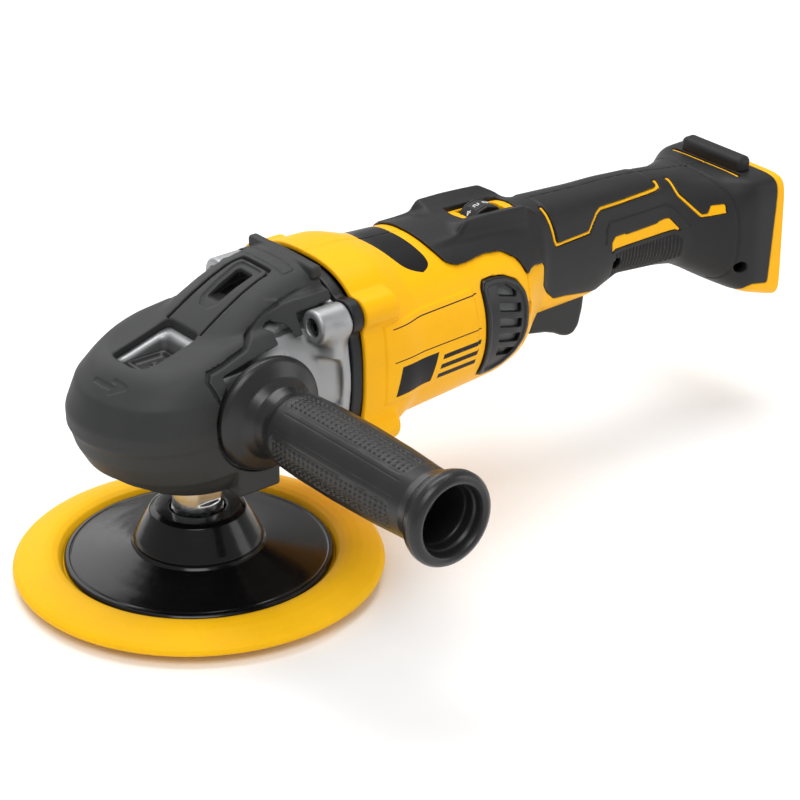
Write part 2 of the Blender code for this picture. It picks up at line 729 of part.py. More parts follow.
def slotted_ring(x, inner, outer, teeth, fill):
    """The outline of a six-slot stator's bore: each tooth covers a share of its pitch."""
    points = []
    for i in range(teeth):
        middle = 2 * math.pi * (i + 0.5) / teeth
        half = math.pi / teeth * fill
        for radius, angle in ((outer, -half), (inner, -half), (inner, half), (outer, half)):
            turn = middle + angle
            points.append((x, radius * math.sin(turn), MOTOR_Z + radius * math.cos(turn)))
    return points


def make_motor():
    axis = (0, 0, MOTOR_Z)
    shaft = [
        (0, 156.0),
        (3.6, 156.0),
        (4.0, 155.4),
        (4.0, 53.0),
        (2.9, 53.0),
        (2.9, 43.2),
        (0, 43.2),
    ]
    turned("motor_shaft", shaft, "X", STEEL, axis, steps=12)
    spur_gear("motor_pinion", SPUR_PINION_TEETH, 3.2, 43.5, 51.5, MOTOR_Z, STEEL)
    ring("motor_front_bearing", 4.3, 11.0, 60.6, 67.2, "X", STEEL, axis)
    ring("motor_rear_bearing", 4.3, 9.5, 147.5, 154.5, "X", STEEL, axis)
    ring("rotor_core", 4.3, 12.8, 94.0, 136.0, "X", LAMINATION, axis)
    make_fan(axis)
    teeth = 6
    count = teeth * 4
    lean = math.pi / (2 * teeth)
    core = [
        slotted_ring(94.0, 13.7, 28.0, teeth, 0.55),
        slotted_ring(136.0, 13.7, 28.0, teeth, 0.55),
        circle_ring(136.0, 34.0, count, MOTOR_Z, lean),
        circle_ring(94.0, 34.0, count, MOTOR_Z, lean),
    ]
    loft("stator_core", core, LAMINATION, looped=True)
    windings = ring("stator_windings", 16.0, 27.2, 88.0, 93.6, "X", COPPER, axis)
    join(windings, ring("rear_overhang", 16.0, 27.2, 136.4, 142.0, "X", None, axis))
    for i in range(teeth):
        angle = 2 * math.pi * i / teeth
        bar = block(f"winding_{i}", (90, -3.4, 17.5), (140, 3.4, 26.4))
        bar.rotation_euler = (-angle, 0, 0)
        bar.location = Vector(axis) * MM
        join(windings, bar)
    ring("hall_sensor_board", 10.5, 30.0, 143.0, 144.6, "X", BOARD, axis)
    bracket = [
        (12.5, 155.0),
        (12.5, 152.8),
        (37.0, 152.8),
        (37.0, 149.2),
        (12.5, 149.2),
        (12.5, 147.0),
        (9.8, 147.0),
        (9.8, 155.0),
    ]
    turned("motor_rear_bracket", bracket, "X", BLACK_PLASTIC, axis, steps=16, closed=True)


def make_fan(axis):
    fan = ring("cooling_fan", 4.3, 9.0, 70.0, 82.0, "X", BLACK_PLASTIC, axis)
    join(fan, ring("fan_disc", 7.0, 35.0, 80.0, 82.0, "X", None, axis, steps=20))
    for i in range(7):
        blade = block(f"fan_blade_{i}", (72.0, -0.7, 7.5), (81.0, 0.7, 34.0))
        blade.rotation_euler = (2 * math.pi * i / 7, 0, 0)
        blade.location = Vector(axis) * MM
        join(fan, blade)


# The housing


def vent_outline(grow):
    """The D shape of a side vent: (x, z), with a straight front edge and a round rear one."""
    low, high = MOTOR_Z - VENT_HALF_HEIGHT - grow, MOTOR_Z + VENT_HALF_HEIGHT + grow
    points = [(VENT_FRONT - grow, low), (VENT_FRONT - grow, high)]
    for i in range(11):
        s, c = squared(math.pi * i / 10, 2.6)
        points.append((VENT_MIDDLE + (VENT_REACH + grow) * s, MOTOR_Z + (VENT_HALF_HEIGHT + grow) * c))
    return points


def vent_prism(name, grow, side):
    """The vent's outline carried in from one side."""
    outline = vent_outline(grow)
    return loft(name, [[(x, side * y, z) for x, z in outline] for y in (15.0, 60.0)])


def make_housing(label, side):
    places = grown_places(BARREL_FRONT, FOOT_REAR)
    outer = body_skin(places, side)
    inner = body_skin([(x, grow - SHELL) for x, grow in places], side)
    shell = wall(f"housing_{label}", outer, inner, YELLOW)
    for i, (y, z) in enumerate(CASE_SCREWS):
        if y * side > 0:
            join(shell, rod(f"{label}_boss_{i}", 5.4, (BARREL_FRONT, y, z), (86, y, z), segments=12))
            cut(shell, rod(f"{label}_thread_{i}", 2.7, (60, y, z), (83.5, y, z), segments=6))
    for i, (x, z) in enumerate(BODY_SCREWS):
        covered = GRIP_START <= x < GRIP_END
        depth = UNDER_COVER if covered else 0.0
        reach = body_half_width(x - POST_RADIUS, z - POST_RADIUS, -depth) - SHELL / 2
        start, end = (x, side * SEAM, z), (x, side * reach, z)
        join(shell, rod(f"{label}_post_{i}", POST_RADIUS, start, end, segments=10))
        far = 60 if side < 0 else 10
        cut(shell, rod(f"{label}_post_hole_{i}", 2.5, (x, -side, z), (x, side * far, z), segments=6))
        if side < 0:
            cut(shell, rod(f"post_seat_{i}", 4.0, (x, -8.9, z), (x, -60, z), segments=8))
    cut(shell, vent_prism(f"{label}_vent_hole", 0.35, side))
    slot = block(f"{label}_trigger_slot", (193.5, -11.3, 60), (241.5, 11.3, 90.5))
    well = block(f"{label}_dial_slot", (160.5, -6.9, 126), (187.5, 6.9, 160))
    pin_hole = rod(f"{label}_pin_hole", 2.3, (201, 0, 88), (201, side * 16.6, 88), segments=12)
    cut(shell, slot, well, pin_hole)
    use_manifold_solver(shell)


def make_body_screws():
    for i, (x, z) in enumerate(BODY_SCREWS):
        screw = [(0, 11.6), (3.3, 11.6), (3.3, 9.2), (1.8, 9.2), (1.8, -8.5), (0, -8.5)]
        turned(f"housing_screw_{i + 1}", screw, "-Y", BLACK_STEEL, (x, 0, z), steps=8)


def rail(name, side):
    """The raised rail beside the dial, standing on the overmould, with its ridge well out to the side."""
    rings = []
    for x, ridge in RAIL_RIDGE:
        floor = body_top(x, RAIL_INNER) + 0.9
        spots = [(RAIL_INNER, floor), (RAIL_INNER, floor + 1.6), (RAIL_PEAK, ridge), (RAIL_OUTER, ridge - 1.8)]
        spots += [(y, body_top(x, y) + 1.5) for y in (RAIL_OUTER, (RAIL_INNER + RAIL_OUTER) / 2)]
        rings.append([(x, side * y, z) for y, z in spots])
    return loft(name, rings)


def make_overmould(label, side):
    """One half of the soft cover: the whole grip and foot, and a tongue forward over the barrel."""
    xs = [GRIP_START + 0.7] + [row[0] for row in BODY_STATIONS if GRIP_START + 1 < row[0] < GRIP_END - 1]
    xs.append(GRIP_END - 0.7)
    outer = body_skin([(x, 0) for x in xs], side)
    inner = body_skin([(x, -OVERMOULD) for x in xs], side)
    cover = wall(f"overmould_{label}", outer, inner, BLACK_RUBBER)
    tongue = [TOP_PAD_START, 163.0, 175.0, 186.0, 198.5, 199.2]
    spread = math.radians(58)
    outside = body_skin([(x, 1.7) for x in tongue] + [(200.6, -0.2), (204, -0.2)], side, spread)
    inside = body_skin([(x, GAP + 0.15) for x in tongue] + [(200.6, -1.8), (204, -1.8)], side, spread)
    join(cover, wall(f"{label}_tongue", outside, inside))
    join(cover, rail(f"{label}_rail", side))
    well = block(f"{label}_well", (156, -8.0, 126), (191.5, 8.0, 160))
    slot = block(f"{label}_cover_slot", (193.5, -12.0, 60), (242.0, 12.0, 90.9))
    cut(cover, well, slot)
    if side < 0:
        for i, (x, z) in enumerate(BODY_SCREWS[1:]):
            cut(cover, rod(f"cover_screw_room_{i}", 4.4, (x, -8, z), (x, -60, z), segments=6))
    return cover


def make_vent(label, side):
    """A side vent: a curved D frame with slanted bars, and the mesh behind it."""
    xs = [141.5, 152.0, 163.0, 174.0]
    angles = (math.radians(50), math.radians(130))
    count = 4

    def skin(grow):
        step = (angles[1] - angles[0]) / count
        return [[body_point(x, angles[0] + step * i, grow, side) for i in range(count + 1)] for x in xs]

    frame = wall(f"vent_frame_{label}", skin(0.8), skin(-2.5), BLACK_PLASTIC)
    boolean(frame, vent_prism(f"{label}_vent_shape", 0, side), "INTERSECT")
    for i in range(5):
        middle = MOTOR_Z + (i - 2) * WINDOW_PITCH
        low, high = sorted((side * 15, side * 60))
        rear = 163.0 if abs(i - 2) == 2 else 167.0
        start = (WINDOW_START, low, middle - WINDOW_HALF_HEIGHT)
        cut(frame, block(f"{label}_window_{i}", start, (rear, high, middle + WINDOW_HALF_HEIGHT)))
    use_manifold_solver(frame)
    screen = wall(f"vent_mesh_{label}", skin(-2.9), skin(-3.6), MESH)
    boolean(screen, vent_prism(f"{label}_mesh_shape", -2.0, side), "INTERSECT")


# Controls


def make_trigger():
    origin = TRIGGER_PIVOT
    outline = [
        (197.0, 80.0),
        (197.5, 69.0),
        (204.0, 68.6),
        (211.0, 67.4),
        (217.0, 65.0),
        (222.0, 62.0),
        (226.0, 60.8),
        (230.0, 62.2),
        (233.5, 67.0),
        (236.0, 76.0),
        (237.5, 86.0),
        (236.5, 93.0),
        (206.0, 93.0),
        (198.0, 91.5),
    ]
    rings = [[(x, y, z) for x, z in outline] for y in (-10.4, 10.4)]
    trigger = loft("trigger", rings, BLACK_PLASTIC, origin=origin)
    edge = trigger.modifiers.new("rounded_edges", "BEVEL")
    edge.width = 1.6 * MM
    edge.segments = 2
    edge.limit_method = "ANGLE"
    edge.angle_limit = math.radians(60)
    x, _, z = TRIGGER_PIVOT
    cut(trigger, rod("trigger_bore", 2.4, (x, -20, z), (x, 20, z), segments=6))
    rod("trigger_pin", 2.0, (x, -12.9, z), (x, 12.9, z), STEEL, segments=10)
    coil("trigger_spring", (224.0, 0.0), 3.6, 0.4, 93.9, 101.6, 3, STEEL)
    block("trigger_switch", (204, -11.5, 102.5), (243, 11.5, 125), GREY_PLASTIC, rounding=1.5)


def make_dial():
    x, _, z = DIAL_CENTRE
    bm = bmesh.new()
    bmesh.ops.create_cone(bm, cap_ends=True, segments=14, radius1=DIAL_RADIUS, radius2=DIAL_RADIUS, depth=12.0)
    bmesh.ops.rotate(bm, matrix=Matrix.Rotation(math.pi / 2, 3, "X"), verts=bm.verts)
    bmesh.ops.translate(bm, vec=DIAL_CENTRE, verts=bm.verts)
    dial = solid("speed_dial", bm, BLACK_PLASTIC, DIAL_CENTRE)
    cut(dial, rod("dial_bore", 1.9, (x, -20, z), (x, 20, z), segments=6))
    pot = block("dial_potentiometer", (x - 6, 7.4, z - 8), (x + 6, 11.4, z - 1.5), GREY_PLASTIC)
    join(pot, rod("potentiometer_shaft", 1.5, (x, -6.4, z), (x, 8.6, z), segments=6))
    join(pot, block("potentiometer_neck", (x - 2.5, 7.4, z - 4), (x + 2.5, 10, z + 2.2)))
    block("motor_controller", (160, -14, 80), (188, 14, 117), GREY_PLASTIC, rounding=1.5)


# The battery foot


def foot_ring(x):
    """The foot's section just inside its shell, as one closed ring."""
    half = body_skin([(x, -SHELL - GAP)], 1)[0]
    side = half[1:-1]
    bottom, top = (x, 0, half[-1][2]), (x, 0, half[0][2])
    return side + [bottom] + [(x, -y, z) for _, y, z in reversed(side)] + [top]


def make_foot():
    """The plate, rails and terminals that a battery slides onto, and the bumper on top."""
    plate = loft("battery_rails", [foot_ring(x) for x in (341.4, 343.2)], BLACK_PLASTIC)
    for side in (-1, 1):
        near, far = sorted((side * 26.6, side * 30.0))
        join(plate, block(f"rail_wall_{side}", (342.2, near, 67.5), (349.7, far, 118.5)))
        near, far = sorted((side * 22.0, side * 30.0))
        join(plate, block(f"rail_lip_{side}", (348.0, near, 67.5), (349.7, far, 118.5)))
    block("battery_terminals", (343.6, -14.5, 74), (349.0, 14.5, 108), GREY_PLASTIC, rounding=1.0)
    block("foot_bumper", (327.0, -22.5, 129.4), (338.5, 22.5, 137.0), BLACK_RUBBER, rounding=2.4)


def clear_scene():
    for obj in list(bpy.data.objects):
        bpy.data.objects.remove(obj, do_unlink=True)


def build():
    make_pad()
    make_spindle()
    make_gear_train()
    make_gear_case()
    make_bearing_cover()
    make_boot()
    make_lock()
    make_bearing_plate()
    make_side_handle()
    make_motor()
    for label, side in (("left", -1), ("right", 1)):
        make_housing(label, side)
        make_overmould(label, side)
        make_vent(label, side)
    make_body_screws()
    make_trigger()
    make_dial()
    make_foot()


clear_scene()
PARTS = start_collection("rotary_polisher", hidden=False)
CUTTERS = start_collection("cutters", hidden=True)
build()
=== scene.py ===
"""The looks of a cordless rotary polisher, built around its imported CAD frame.

Most visible pieces are drawn as distance fields in millimetres, in the frame's own axes: a field is negative inside
the piece. Each field becomes a mesh through an OpenVDB grid, and its vertices are then moved onto the exact surface.
"""

import math

import bpy
import numpy as np
import openvdb
from mathutils import Matrix, Vector


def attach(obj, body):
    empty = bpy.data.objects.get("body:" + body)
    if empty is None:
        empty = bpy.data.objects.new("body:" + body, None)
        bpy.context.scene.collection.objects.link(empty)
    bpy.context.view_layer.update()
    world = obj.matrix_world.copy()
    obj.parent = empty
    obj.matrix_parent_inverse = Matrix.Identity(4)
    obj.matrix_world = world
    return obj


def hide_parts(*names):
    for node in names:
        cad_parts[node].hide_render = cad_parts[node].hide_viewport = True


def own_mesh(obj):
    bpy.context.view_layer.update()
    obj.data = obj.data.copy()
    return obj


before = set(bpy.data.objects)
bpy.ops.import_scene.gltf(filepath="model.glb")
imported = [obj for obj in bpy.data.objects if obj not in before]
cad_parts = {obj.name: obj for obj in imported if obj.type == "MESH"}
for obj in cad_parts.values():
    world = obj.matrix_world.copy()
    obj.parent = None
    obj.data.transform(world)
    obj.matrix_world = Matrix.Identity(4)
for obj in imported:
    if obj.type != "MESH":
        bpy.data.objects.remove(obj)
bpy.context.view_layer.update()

MM = 0.001
FINE = 1.0
FAR = 1.0e3

# Main places of the machine, in millimetres
HEAD_ROOM = 3.6
MOTOR_Z = 100.0
LAYSHAFT_Z = 80.0
HANDLE_X, HANDLE_Z = 12.7, 96.5
LOCK_X = -21.0
DIAL_X, DIAL_Z = 174.0, 133.8
TRIGGER_PIN_X, TRIGGER_PIN_Z = 201, 88
FRONT, REAR = 64.8, 350.0
SHELL = 2.8
TERMINAL_ROWS = (-10.5, -5.2, 0.0, 5.2, 10.5)
WEAVE_PITCH = 1.3
RIB_PITCH = 1.4
SCREW_PLACES = [(38.5, 130.0), (-38.5, 130.0), (38.5, 70.0), (-38.5, 70.0)]
BODY_SCREWS = [(88.0, 60.5), (250.0, 98.0), (324.0, 81.0)]
COVER_SCREWS = [(28.0 * math.cos(a) - 1.0, 28.0 * math.sin(a)) for a in map(math.radians, (60, 180, 300))]


# Fields


def smin(a, b, k):
    h = np.maximum(k - np.abs(a - b), 0) / k
    return np.minimum(a, b) - h * h * k * 0.25


def smax(a, b, k):
    return -smin(-a, -b, k)


def cut(d, tool, k=0.6):
    return smax(d, -tool, k)


def box(p, low, high, r=0.0):
    """A box between two corners with rounded edges."""
    sides = [np.abs(c - (a + b) / 2) - (b - a) / 2 + r for c, a, b in zip(p, low, high)]
    outside = np.sqrt(sum(np.maximum(side, 0) ** 2 for side in sides))
    inside = np.minimum(np.maximum(np.maximum(sides[0], sides[1]), sides[2]), 0)
    return outside + inside - r


def rod(p, start, end, radius, r=0.0):
    """A cylinder between two points with rounded rims."""
    start = np.array(start, float)
    axis = np.array(end, float) - start
    length = np.linalg.norm(axis)
    axis /= length
    rel = [c - s for c, s in zip(p, start)]
    along = sum(c * a for c, a in zip(rel, axis))
    radial = np.sqrt(np.maximum(sum(c * c for c in rel) - along * along, 0))
    u = radial - radius + r
    v = np.abs(along - length / 2) - length / 2 + r
    return np.minimum(np.maximum(u, v), 0) + np.hypot(np.maximum(u, 0), np.maximum(v, 0)) - r


def path_distance(coords, points):
    """The distance to a chain of points, in as many dimensions as the points have."""
    best = None
    for a, b in zip(points, points[1:]):
        a, b = np.array(a, float), np.array(b, float)
        e = b - a
        rel = [c - o for c, o in zip(coords, a)]
        t = np.clip(sum(c * w for c, w in zip(rel, e)) / (e @ e), 0, 1)
        d2 = sum((c - t * w) ** 2 for c, w in zip(rel, e))
        best = d2 if best is None else np.minimum(best, d2)
    return np.sqrt(best)


def blurred(values, sigma, axis):
    reach = max(int(3 * sigma + 0.5), 1)
    weights = np.exp(-0.5 * (np.arange(-reach, reach + 1) / sigma) ** 2)
    weights /= weights.sum()
    pad = [(0, 0)] * values.ndim
    pad[axis] = (reach, reach)
    padded = np.pad(values, pad, mode="edge")
    out = np.zeros_like(values)
    for i, w in enumerate(weights):
        piece = [slice(None)] * values.ndim
        piece[axis] = slice(i, i + values.shape[axis])
        out += w * padded[tuple(piece)]
    return out


class Table:
    """Rows of (place, value, value, ...) read along the place, with their corners softened."""

    def __init__(self, rows, soften, pitch=0.25):
        rows = np.array(rows, float)
        self.places = np.arange(rows[0, 0], rows[-1, 0] + pitch, pitch)
        self.columns = [
            blurred(np.interp(self.places, rows[:, 0], rows[:, i]), soften / pitch, 0) for i in range(1, rows.shape[1])
        ]

    def __call__(self, place):
        return [np.interp(place, self.places, column) for column in self.columns]


class Outline:
    """The signed distance to a closed outline in a plane, with its corners softened."""

    def __init__(self, points, soften=0.5, margin=6.0, pitch=0.3):
        points = np.array(points, float)
        self.pitch = pitch
        self.low = points.min(0) - margin
        counts = np.ceil((points.max(0) + margin - self.low) / pitch).astype(int) + 1
        u, v = (self.low[i] + pitch * np.arange(counts[i]) for i in (0, 1))
        u, v = np.meshgrid(u, v, indexing="ij")
        nearest = np.full(u.shape, FAR**2)
        inside = np.zeros(u.shape, bool)
        for (ax, ay), (bx, by) in zip(points, np.roll(points, -1, axis=0)):
            ex, ey = bx - ax, by - ay
            wx, wy = u - ax, v - ay
            t = np.clip((wx * ex + wy * ey) / (ex * ex + ey * ey), 0, 1)
            nearest = np.minimum(nearest, (wx - ex * t) ** 2 + (wy - ey * t) ** 2)
            if ay != by:
                inside ^= ((ay > v) != (by > v)) & (u < ex * (v - ay) / ey + ax)
        field = np.where(inside, -1.0, 1.0) * np.sqrt(nearest)
        self.field = blurred(blurred(field, soften / pitch, 0), soften / pitch, 1)

    def __call__(self, u, v):
        top = np.array(self.field.shape) - 1.001
        i = np.clip((u - self.low[0]) / self.pitch, 0, top[0])
        j = np.clip((v - self.low[1]) / self.pitch, 0, top[1])
        a, b = i.astype(int), j.astype(int)
        i, j = i - a, j - b
        f = self.field
        low = f[a, b] * (1 - i) + f[a + 1, b] * i
        high = f[a, b + 1] * (1 - i) + f[a + 1, b + 1] * i
        return low * (1 - j) + high * j


def oval(a, b, w, h, power):
    """The distance to a superellipse with half-axes w and h, at (a, b) from its middle."""
    u, v = np.abs(a) / w, np.abs(b) / h
    f = np.maximum((u**power + v**power) ** (1 / power), 1e-3)
    slope = f ** (1 - power) * np.hypot(u ** (power - 1) / w, v ** (power - 1) / h)
    return (f - 1) / np.maximum(slope, 1e-4)


def step_up(v, low, high):
    t = np.clip((v - low) / (high - low), 0, 1)
    return t * t * (3 - 2 * t)


# From a field to a mesh

BLOCK = 8


def sample_blocks(field, low, step, counts):
    """The field on a grid, worked out only in the blocks near its surface."""
    blocks = [math.ceil(c / BLOCK) for c in counts]
    centres = [low[i] + (np.arange(blocks[i]) + 0.5) * BLOCK * step - step / 2 for i in range(3)]
    grid = np.meshgrid(*centres, indexing="ij")
    coarse = field([g.ravel() for g in grid]).reshape(grid[0].shape)
    near = np.argwhere(np.abs(coarse) < BLOCK * step * 1.25)
    big = BLOCK * step
    dense = np.repeat(np.repeat(np.repeat(np.where(coarse > 0, big, -big), BLOCK, 0), BLOCK, 1), BLOCK, 2)
    dense = dense.astype(np.float32)
    inner = np.stack(np.meshgrid(*[np.arange(BLOCK)] * 3, indexing="ij"), -1).reshape(-1, 3)
    for start in range(0, len(near), 1200):
        part = near[start : start + 1200]
        cells = (part[:, None, :] * BLOCK + inner[None]).reshape(-1, 3)
        p = [low[i] + cells[:, i] * step for i in range(3)]
        dense[cells[:, 0], cells[:, 1], cells[:, 2]] = field(p)
    return dense


def settled(field, points, step):
    """Points moved onto the zero surface of a field along its slope."""
    small = 0.05
    for _ in range(2):
        p = [points[:, i] for i in range(3)]
        value = field(p)
        slope = []
        for i in range(3):
            q = list(p)
            q[i] = p[i] + small
            ahead = field(q)
            q[i] = p[i] - small
            slope.append((ahead - field(q)) / (2 * small))
        slope = np.stack(slope, 1)
        size = np.maximum((slope**2).sum(1), 0.2)
        move = -slope * (value / size)[:, None]
        length = np.linalg.norm(move, axis=1)
        points = points + move * np.minimum(1, 0.6 * step / np.maximum(length, 1e-9))[:, None]
    return points


def field_piece(name, field, low, high, step, look, body, stands_for=()):
    """A piece made from a field, riding on a body and standing for CAD nodes."""
    step = step * FINE
    low = np.array(low, float) - 2 * step
    counts = np.ceil((np.array(high, float) + 2 * step - low) / step).astype(int)
    dense = sample_blocks(field, low, step, counts)
    volume = openvdb.FloatGrid()
    volume.copyFromArray(dense)
    points, triangles, quads = volume.convertToPolygons(isovalue=0.0, adaptivity=0.0)
    points = settled(field, points.astype(float) * step + low, step)
    faces = [tuple(face) for face in quads.tolist()] + [tuple(face) for face in triangles.tolist()]
    mesh = bpy.data.meshes.new(name)
    mesh.from_pydata(points * MM, [], faces)
    corners = points[quads]
    centre = corners.mean(1)
    normal = np.cross(corners[:, 2] - corners[:, 0], corners[:, 3] - corners[:, 1])
    if (centre * normal).sum() < 0:
        mesh.flip_normals()
    mesh.shade_smooth()
    return placed(name, mesh, look, body, stands_for)


def placed(name, mesh, look, body, stands_for=()):
    obj = bpy.data.objects.new(name, mesh)
    bpy.context.scene.collection.objects.link(obj)
    obj.data.materials.append(FINISHES[look])
    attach(obj, body)
    if stands_for:
        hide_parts(*stands_for)
    return obj


# Materials


class Graph:
    """Short ways to add nodes to a material."""

    def __init__(self, name):
        self.material = bpy.data.materials.new(name)
        self.material.use_nodes = True
        self.tree = self.material.node_tree
        self.shader = self.tree.nodes["Principled BSDF"]
        self.coords = self.tree.nodes.new("ShaderNodeTexCoord").outputs["Object"]

    def put(self, socket, value):
        if isinstance(value, bpy.types.NodeSocket):
            self.tree.links.new(value, socket)
        else:
            socket.default_value = value

    def math(self, operation, a, b=0.0, c=0.0):
        node = self.tree.nodes.new("ShaderNodeMath")
        node.operation = operation
        for socket, value in zip(node.inputs, (a, b, c)):
            self.put(socket, value)
        return node.outputs[0]

    def times(self, a, b):
        return self.math("MULTIPLY", a, b)

    def split(self):
        node = self.tree.nodes.new("ShaderNodeSeparateXYZ")
        self.put(node.inputs[0], self.coords)
        return [self.times(out, 1 / MM) for out in node.outputs]

    def noise(self, size, detail=3.0):
        """Noise whose spots are about this size in millimetres."""
        node = self.tree.nodes.new("ShaderNodeTexNoise")
        node.inputs["Scale"].default_value = 1 / (size * MM)
        node.inputs["Detail"].default_value = detail
        node.inputs["Roughness"].default_value = 0.55
        self.put(node.inputs["Vector"], self.coords)
        return node.outputs[0]

    def cells(self, size):
        node = self.tree.nodes.new("ShaderNodeTexVoronoi")
        node.feature = "F1"
        node.inputs["Scale"].default_value = 1 / (size * MM)
        self.put(node.inputs["Vector"], self.coords)
        return node.outputs["Distance"]

    def spread(self, value, low, high, to_low, to_high):
        node = self.tree.nodes.new("ShaderNodeMapRange")
        for socket, number in zip(node.inputs, (value, low, high, to_low, to_high)):
            self.put(socket, number)
        return node.outputs[0]

    def mix(self, share, a, b):
        node = self.tree.nodes.new("ShaderNodeMix")
        node.data_type = "RGBA"
        self.put(node.inputs[0], share)
        self.put(node.inputs[6], a if isinstance(a, bpy.types.NodeSocket) else (*a, 1))
        self.put(node.inputs[7], b if isinstance(b, bpy.types.NodeSocket) else (*b, 1))
        return node.outputs[2]

    def pointed(self):
        """Above a half on convex edges and below it in creases."""
        return self.tree.nodes.new("ShaderNodeNewGeometry").outputs["Pointiness"]

    def bump(self, height, distance):
        node = self.tree.nodes.new("ShaderNodeBump")
        node.inputs["Strength"].default_value = 1.0
        node.inputs["Distance"].default_value = distance * MM
        self.put(node.inputs["Height"], height)
        self.put(self.shader.inputs["Normal"], node.outputs[0])


def shade(colour, factor):
    return tuple(min(c * factor, 1.0) for c in colour)


def finish(name, colour, roughness, metallic=0.0, grain=0.8, depth=0.02, mottle=0.12, wear=0.25,
           paint=None, specular=0.5, relief=None, spread=0.06):
    """A moulded, cast or turned surface: mottled colour, uneven gloss, a fine grain, rubbed edges, and painted shade in
    its creases.

    paint(graph, colour) may add printed or moulded colours or painted shade, and relief(graph) another height.
    """
    g = Graph(name)
    patches = g.noise(22.0, 4.0)
    tone = g.mix(g.spread(patches, 0.3, 0.7, 0.0, 1.0), shade(colour, 1 - mottle), shade(colour, 1 + mottle))
    if paint:
        tone = paint(g, tone)
    if wear:
        lighter = tuple(c + (0.55 - c) * 0.35 for c in colour) if metallic < 0.5 else shade(colour, 1.5)
        edges = g.spread(g.pointed(), 0.53, 0.62, 0.0, 1.0)
        rubbed = g.times(edges, g.spread(g.noise(6.0, 5.0), 0.42, 0.6, 0.0, wear))
        tone = g.mix(rubbed, tone, lighter)
    # Painted shade: creases and grooves, found by pointiness, are mixed towards a quarter of the colour, as if shaded.
    crease_shade = g.spread(g.pointed(), 0.40, 0.485, 0.55, 1.0)
    tone = g.mix(crease_shade, shade(colour, 0.25), tone)
    g.put(g.shader.inputs["Base Color"], tone)
    grains = g.noise(grain, 3.0)
    gloss = g.math("ADD", g.spread(patches, 0.3, 0.7, roughness - spread, roughness + spread),
                   g.spread(grains, 0.3, 0.7, -0.04, 0.04))
    g.put(g.shader.inputs["Roughness"], gloss)
    g.shader.inputs["Metallic"].default_value = metallic
    g.shader.inputs["Specular IOR Level"].default_value = specular
    height = grains if relief is None else g.math("ADD", grains, relief(g))
    g.bump(height, depth)
    return g.material


YELLOW = (0.93, 0.455, 0.004)
INK = (0.012, 0.012, 0.013)


def between(g, value, low, high):
    return g.times(g.math("GREATER_THAN", value, low), g.math("LESS_THAN", value, high))


def housing_print(g, tone):
    """The plain printed shapes of the housing: the band over its top, and rules and blank panels on its sides."""
    x, y, z = g.split()
    across = g.math("DIVIDE", g.math("ABSOLUTE", y), 29.0)
    bend = g.times(g.math("POWER", across, 1.6), 8.0)
    rounded = g.times(g.math("POWER", across, 14.0), 7.0)
    ahead = g.math("ADD", g.math("ADD", bend, rounded), 98.0)
    behind = g.math("SUBTRACT", g.math("ADD", g.times(bend, 0.5), 117.5), rounded)
    band = g.times(g.math("GREATER_THAN", x, ahead), g.math("LESS_THAN", x, behind))
    band = g.times(band, g.math("GREATER_THAN", z, 131.0))
    side = g.math("GREATER_THAN", g.math("ABSOLUTE", y), 36.0)
    slant = g.times(g.math("SUBTRACT", z, 92.0), 0.25)
    along = g.math("SUBTRACT", x, slant)
    panels = g.times(between(g, along, 85.0, 109.0), between(g, z, 84.5, 99.5))
    stripe = g.times(between(g, along, 113.0, 138.0), between(g, z, 84.5, 87.0))
    for low, high in ((89.5, 92.0), (94.5, 97.0)):
        stripe = g.math("MAXIMUM", stripe, g.times(between(g, along, 113.0, 138.0), between(g, z, low, high)))
    rules = g.math("MAXIMUM", between(g, z, 102.6, 103.2), between(g, z, 119.4, 120.0))
    rules = g.times(rules, between(g, x, 82.0, 139.0))
    printed = g.times(side, g.math("MAXIMUM", g.math("MAXIMUM", panels, stripe), rules))
    for x0, z0 in BODY_SCREWS[1:]:
        well = g.times(between(g, x, x0 - 5.2, x0 + 5.2), between(g, z, z0 - 5.2, z0 + 5.2))
        printed = g.math("MAXIMUM", printed, well)
    return g.mix(g.math("MAXIMUM", band, printed), tone, INK)


def ribbed(g):
    _, _, z = g.split()
    wave = g.math("SINE", g.times(z, 2 * math.pi / RIB_PITCH))
    return g.times(wave, 0.6)


def weave(g):
    """Crossed diagonal waves over the sides."""
    x, _, z = g.split()
    a, b = (g.math("SINE", g.times(g.math(way, x, z), 2 * math.pi / WEAVE_PITCH))
            for way in ("ADD", "SUBTRACT"))
    return g.times(a, b)


def woven(g):
    return g.times(weave(g), 1.6)


def mesh_paint(g, tone):
    return g.mix(g.spread(weave(g), -0.2, 0.5, 0.0, 0.75), tone, (0.03, 0.03, 0.03))


def boot_opening_shade(g, tone):
    """Painted shade: near-black colour at the bottom of the boot's air opening, standing in for the shade of its depth.
    """
    x, y, z = g.split()
    inside = g.times(between(g, x, 14.5, 32.5), g.math("LESS_THAN", g.math("ABSOLUTE", y), 5.8))
    depth = g.math("SUBTRACT", g.math("ADD", g.times(x, 0.42), 132.4), z)
    return g.mix(g.times(inside, g.math("GREATER_THAN", depth, 0.0)), tone, (0.002, 0.002, 0.002))


FINISHES = {}


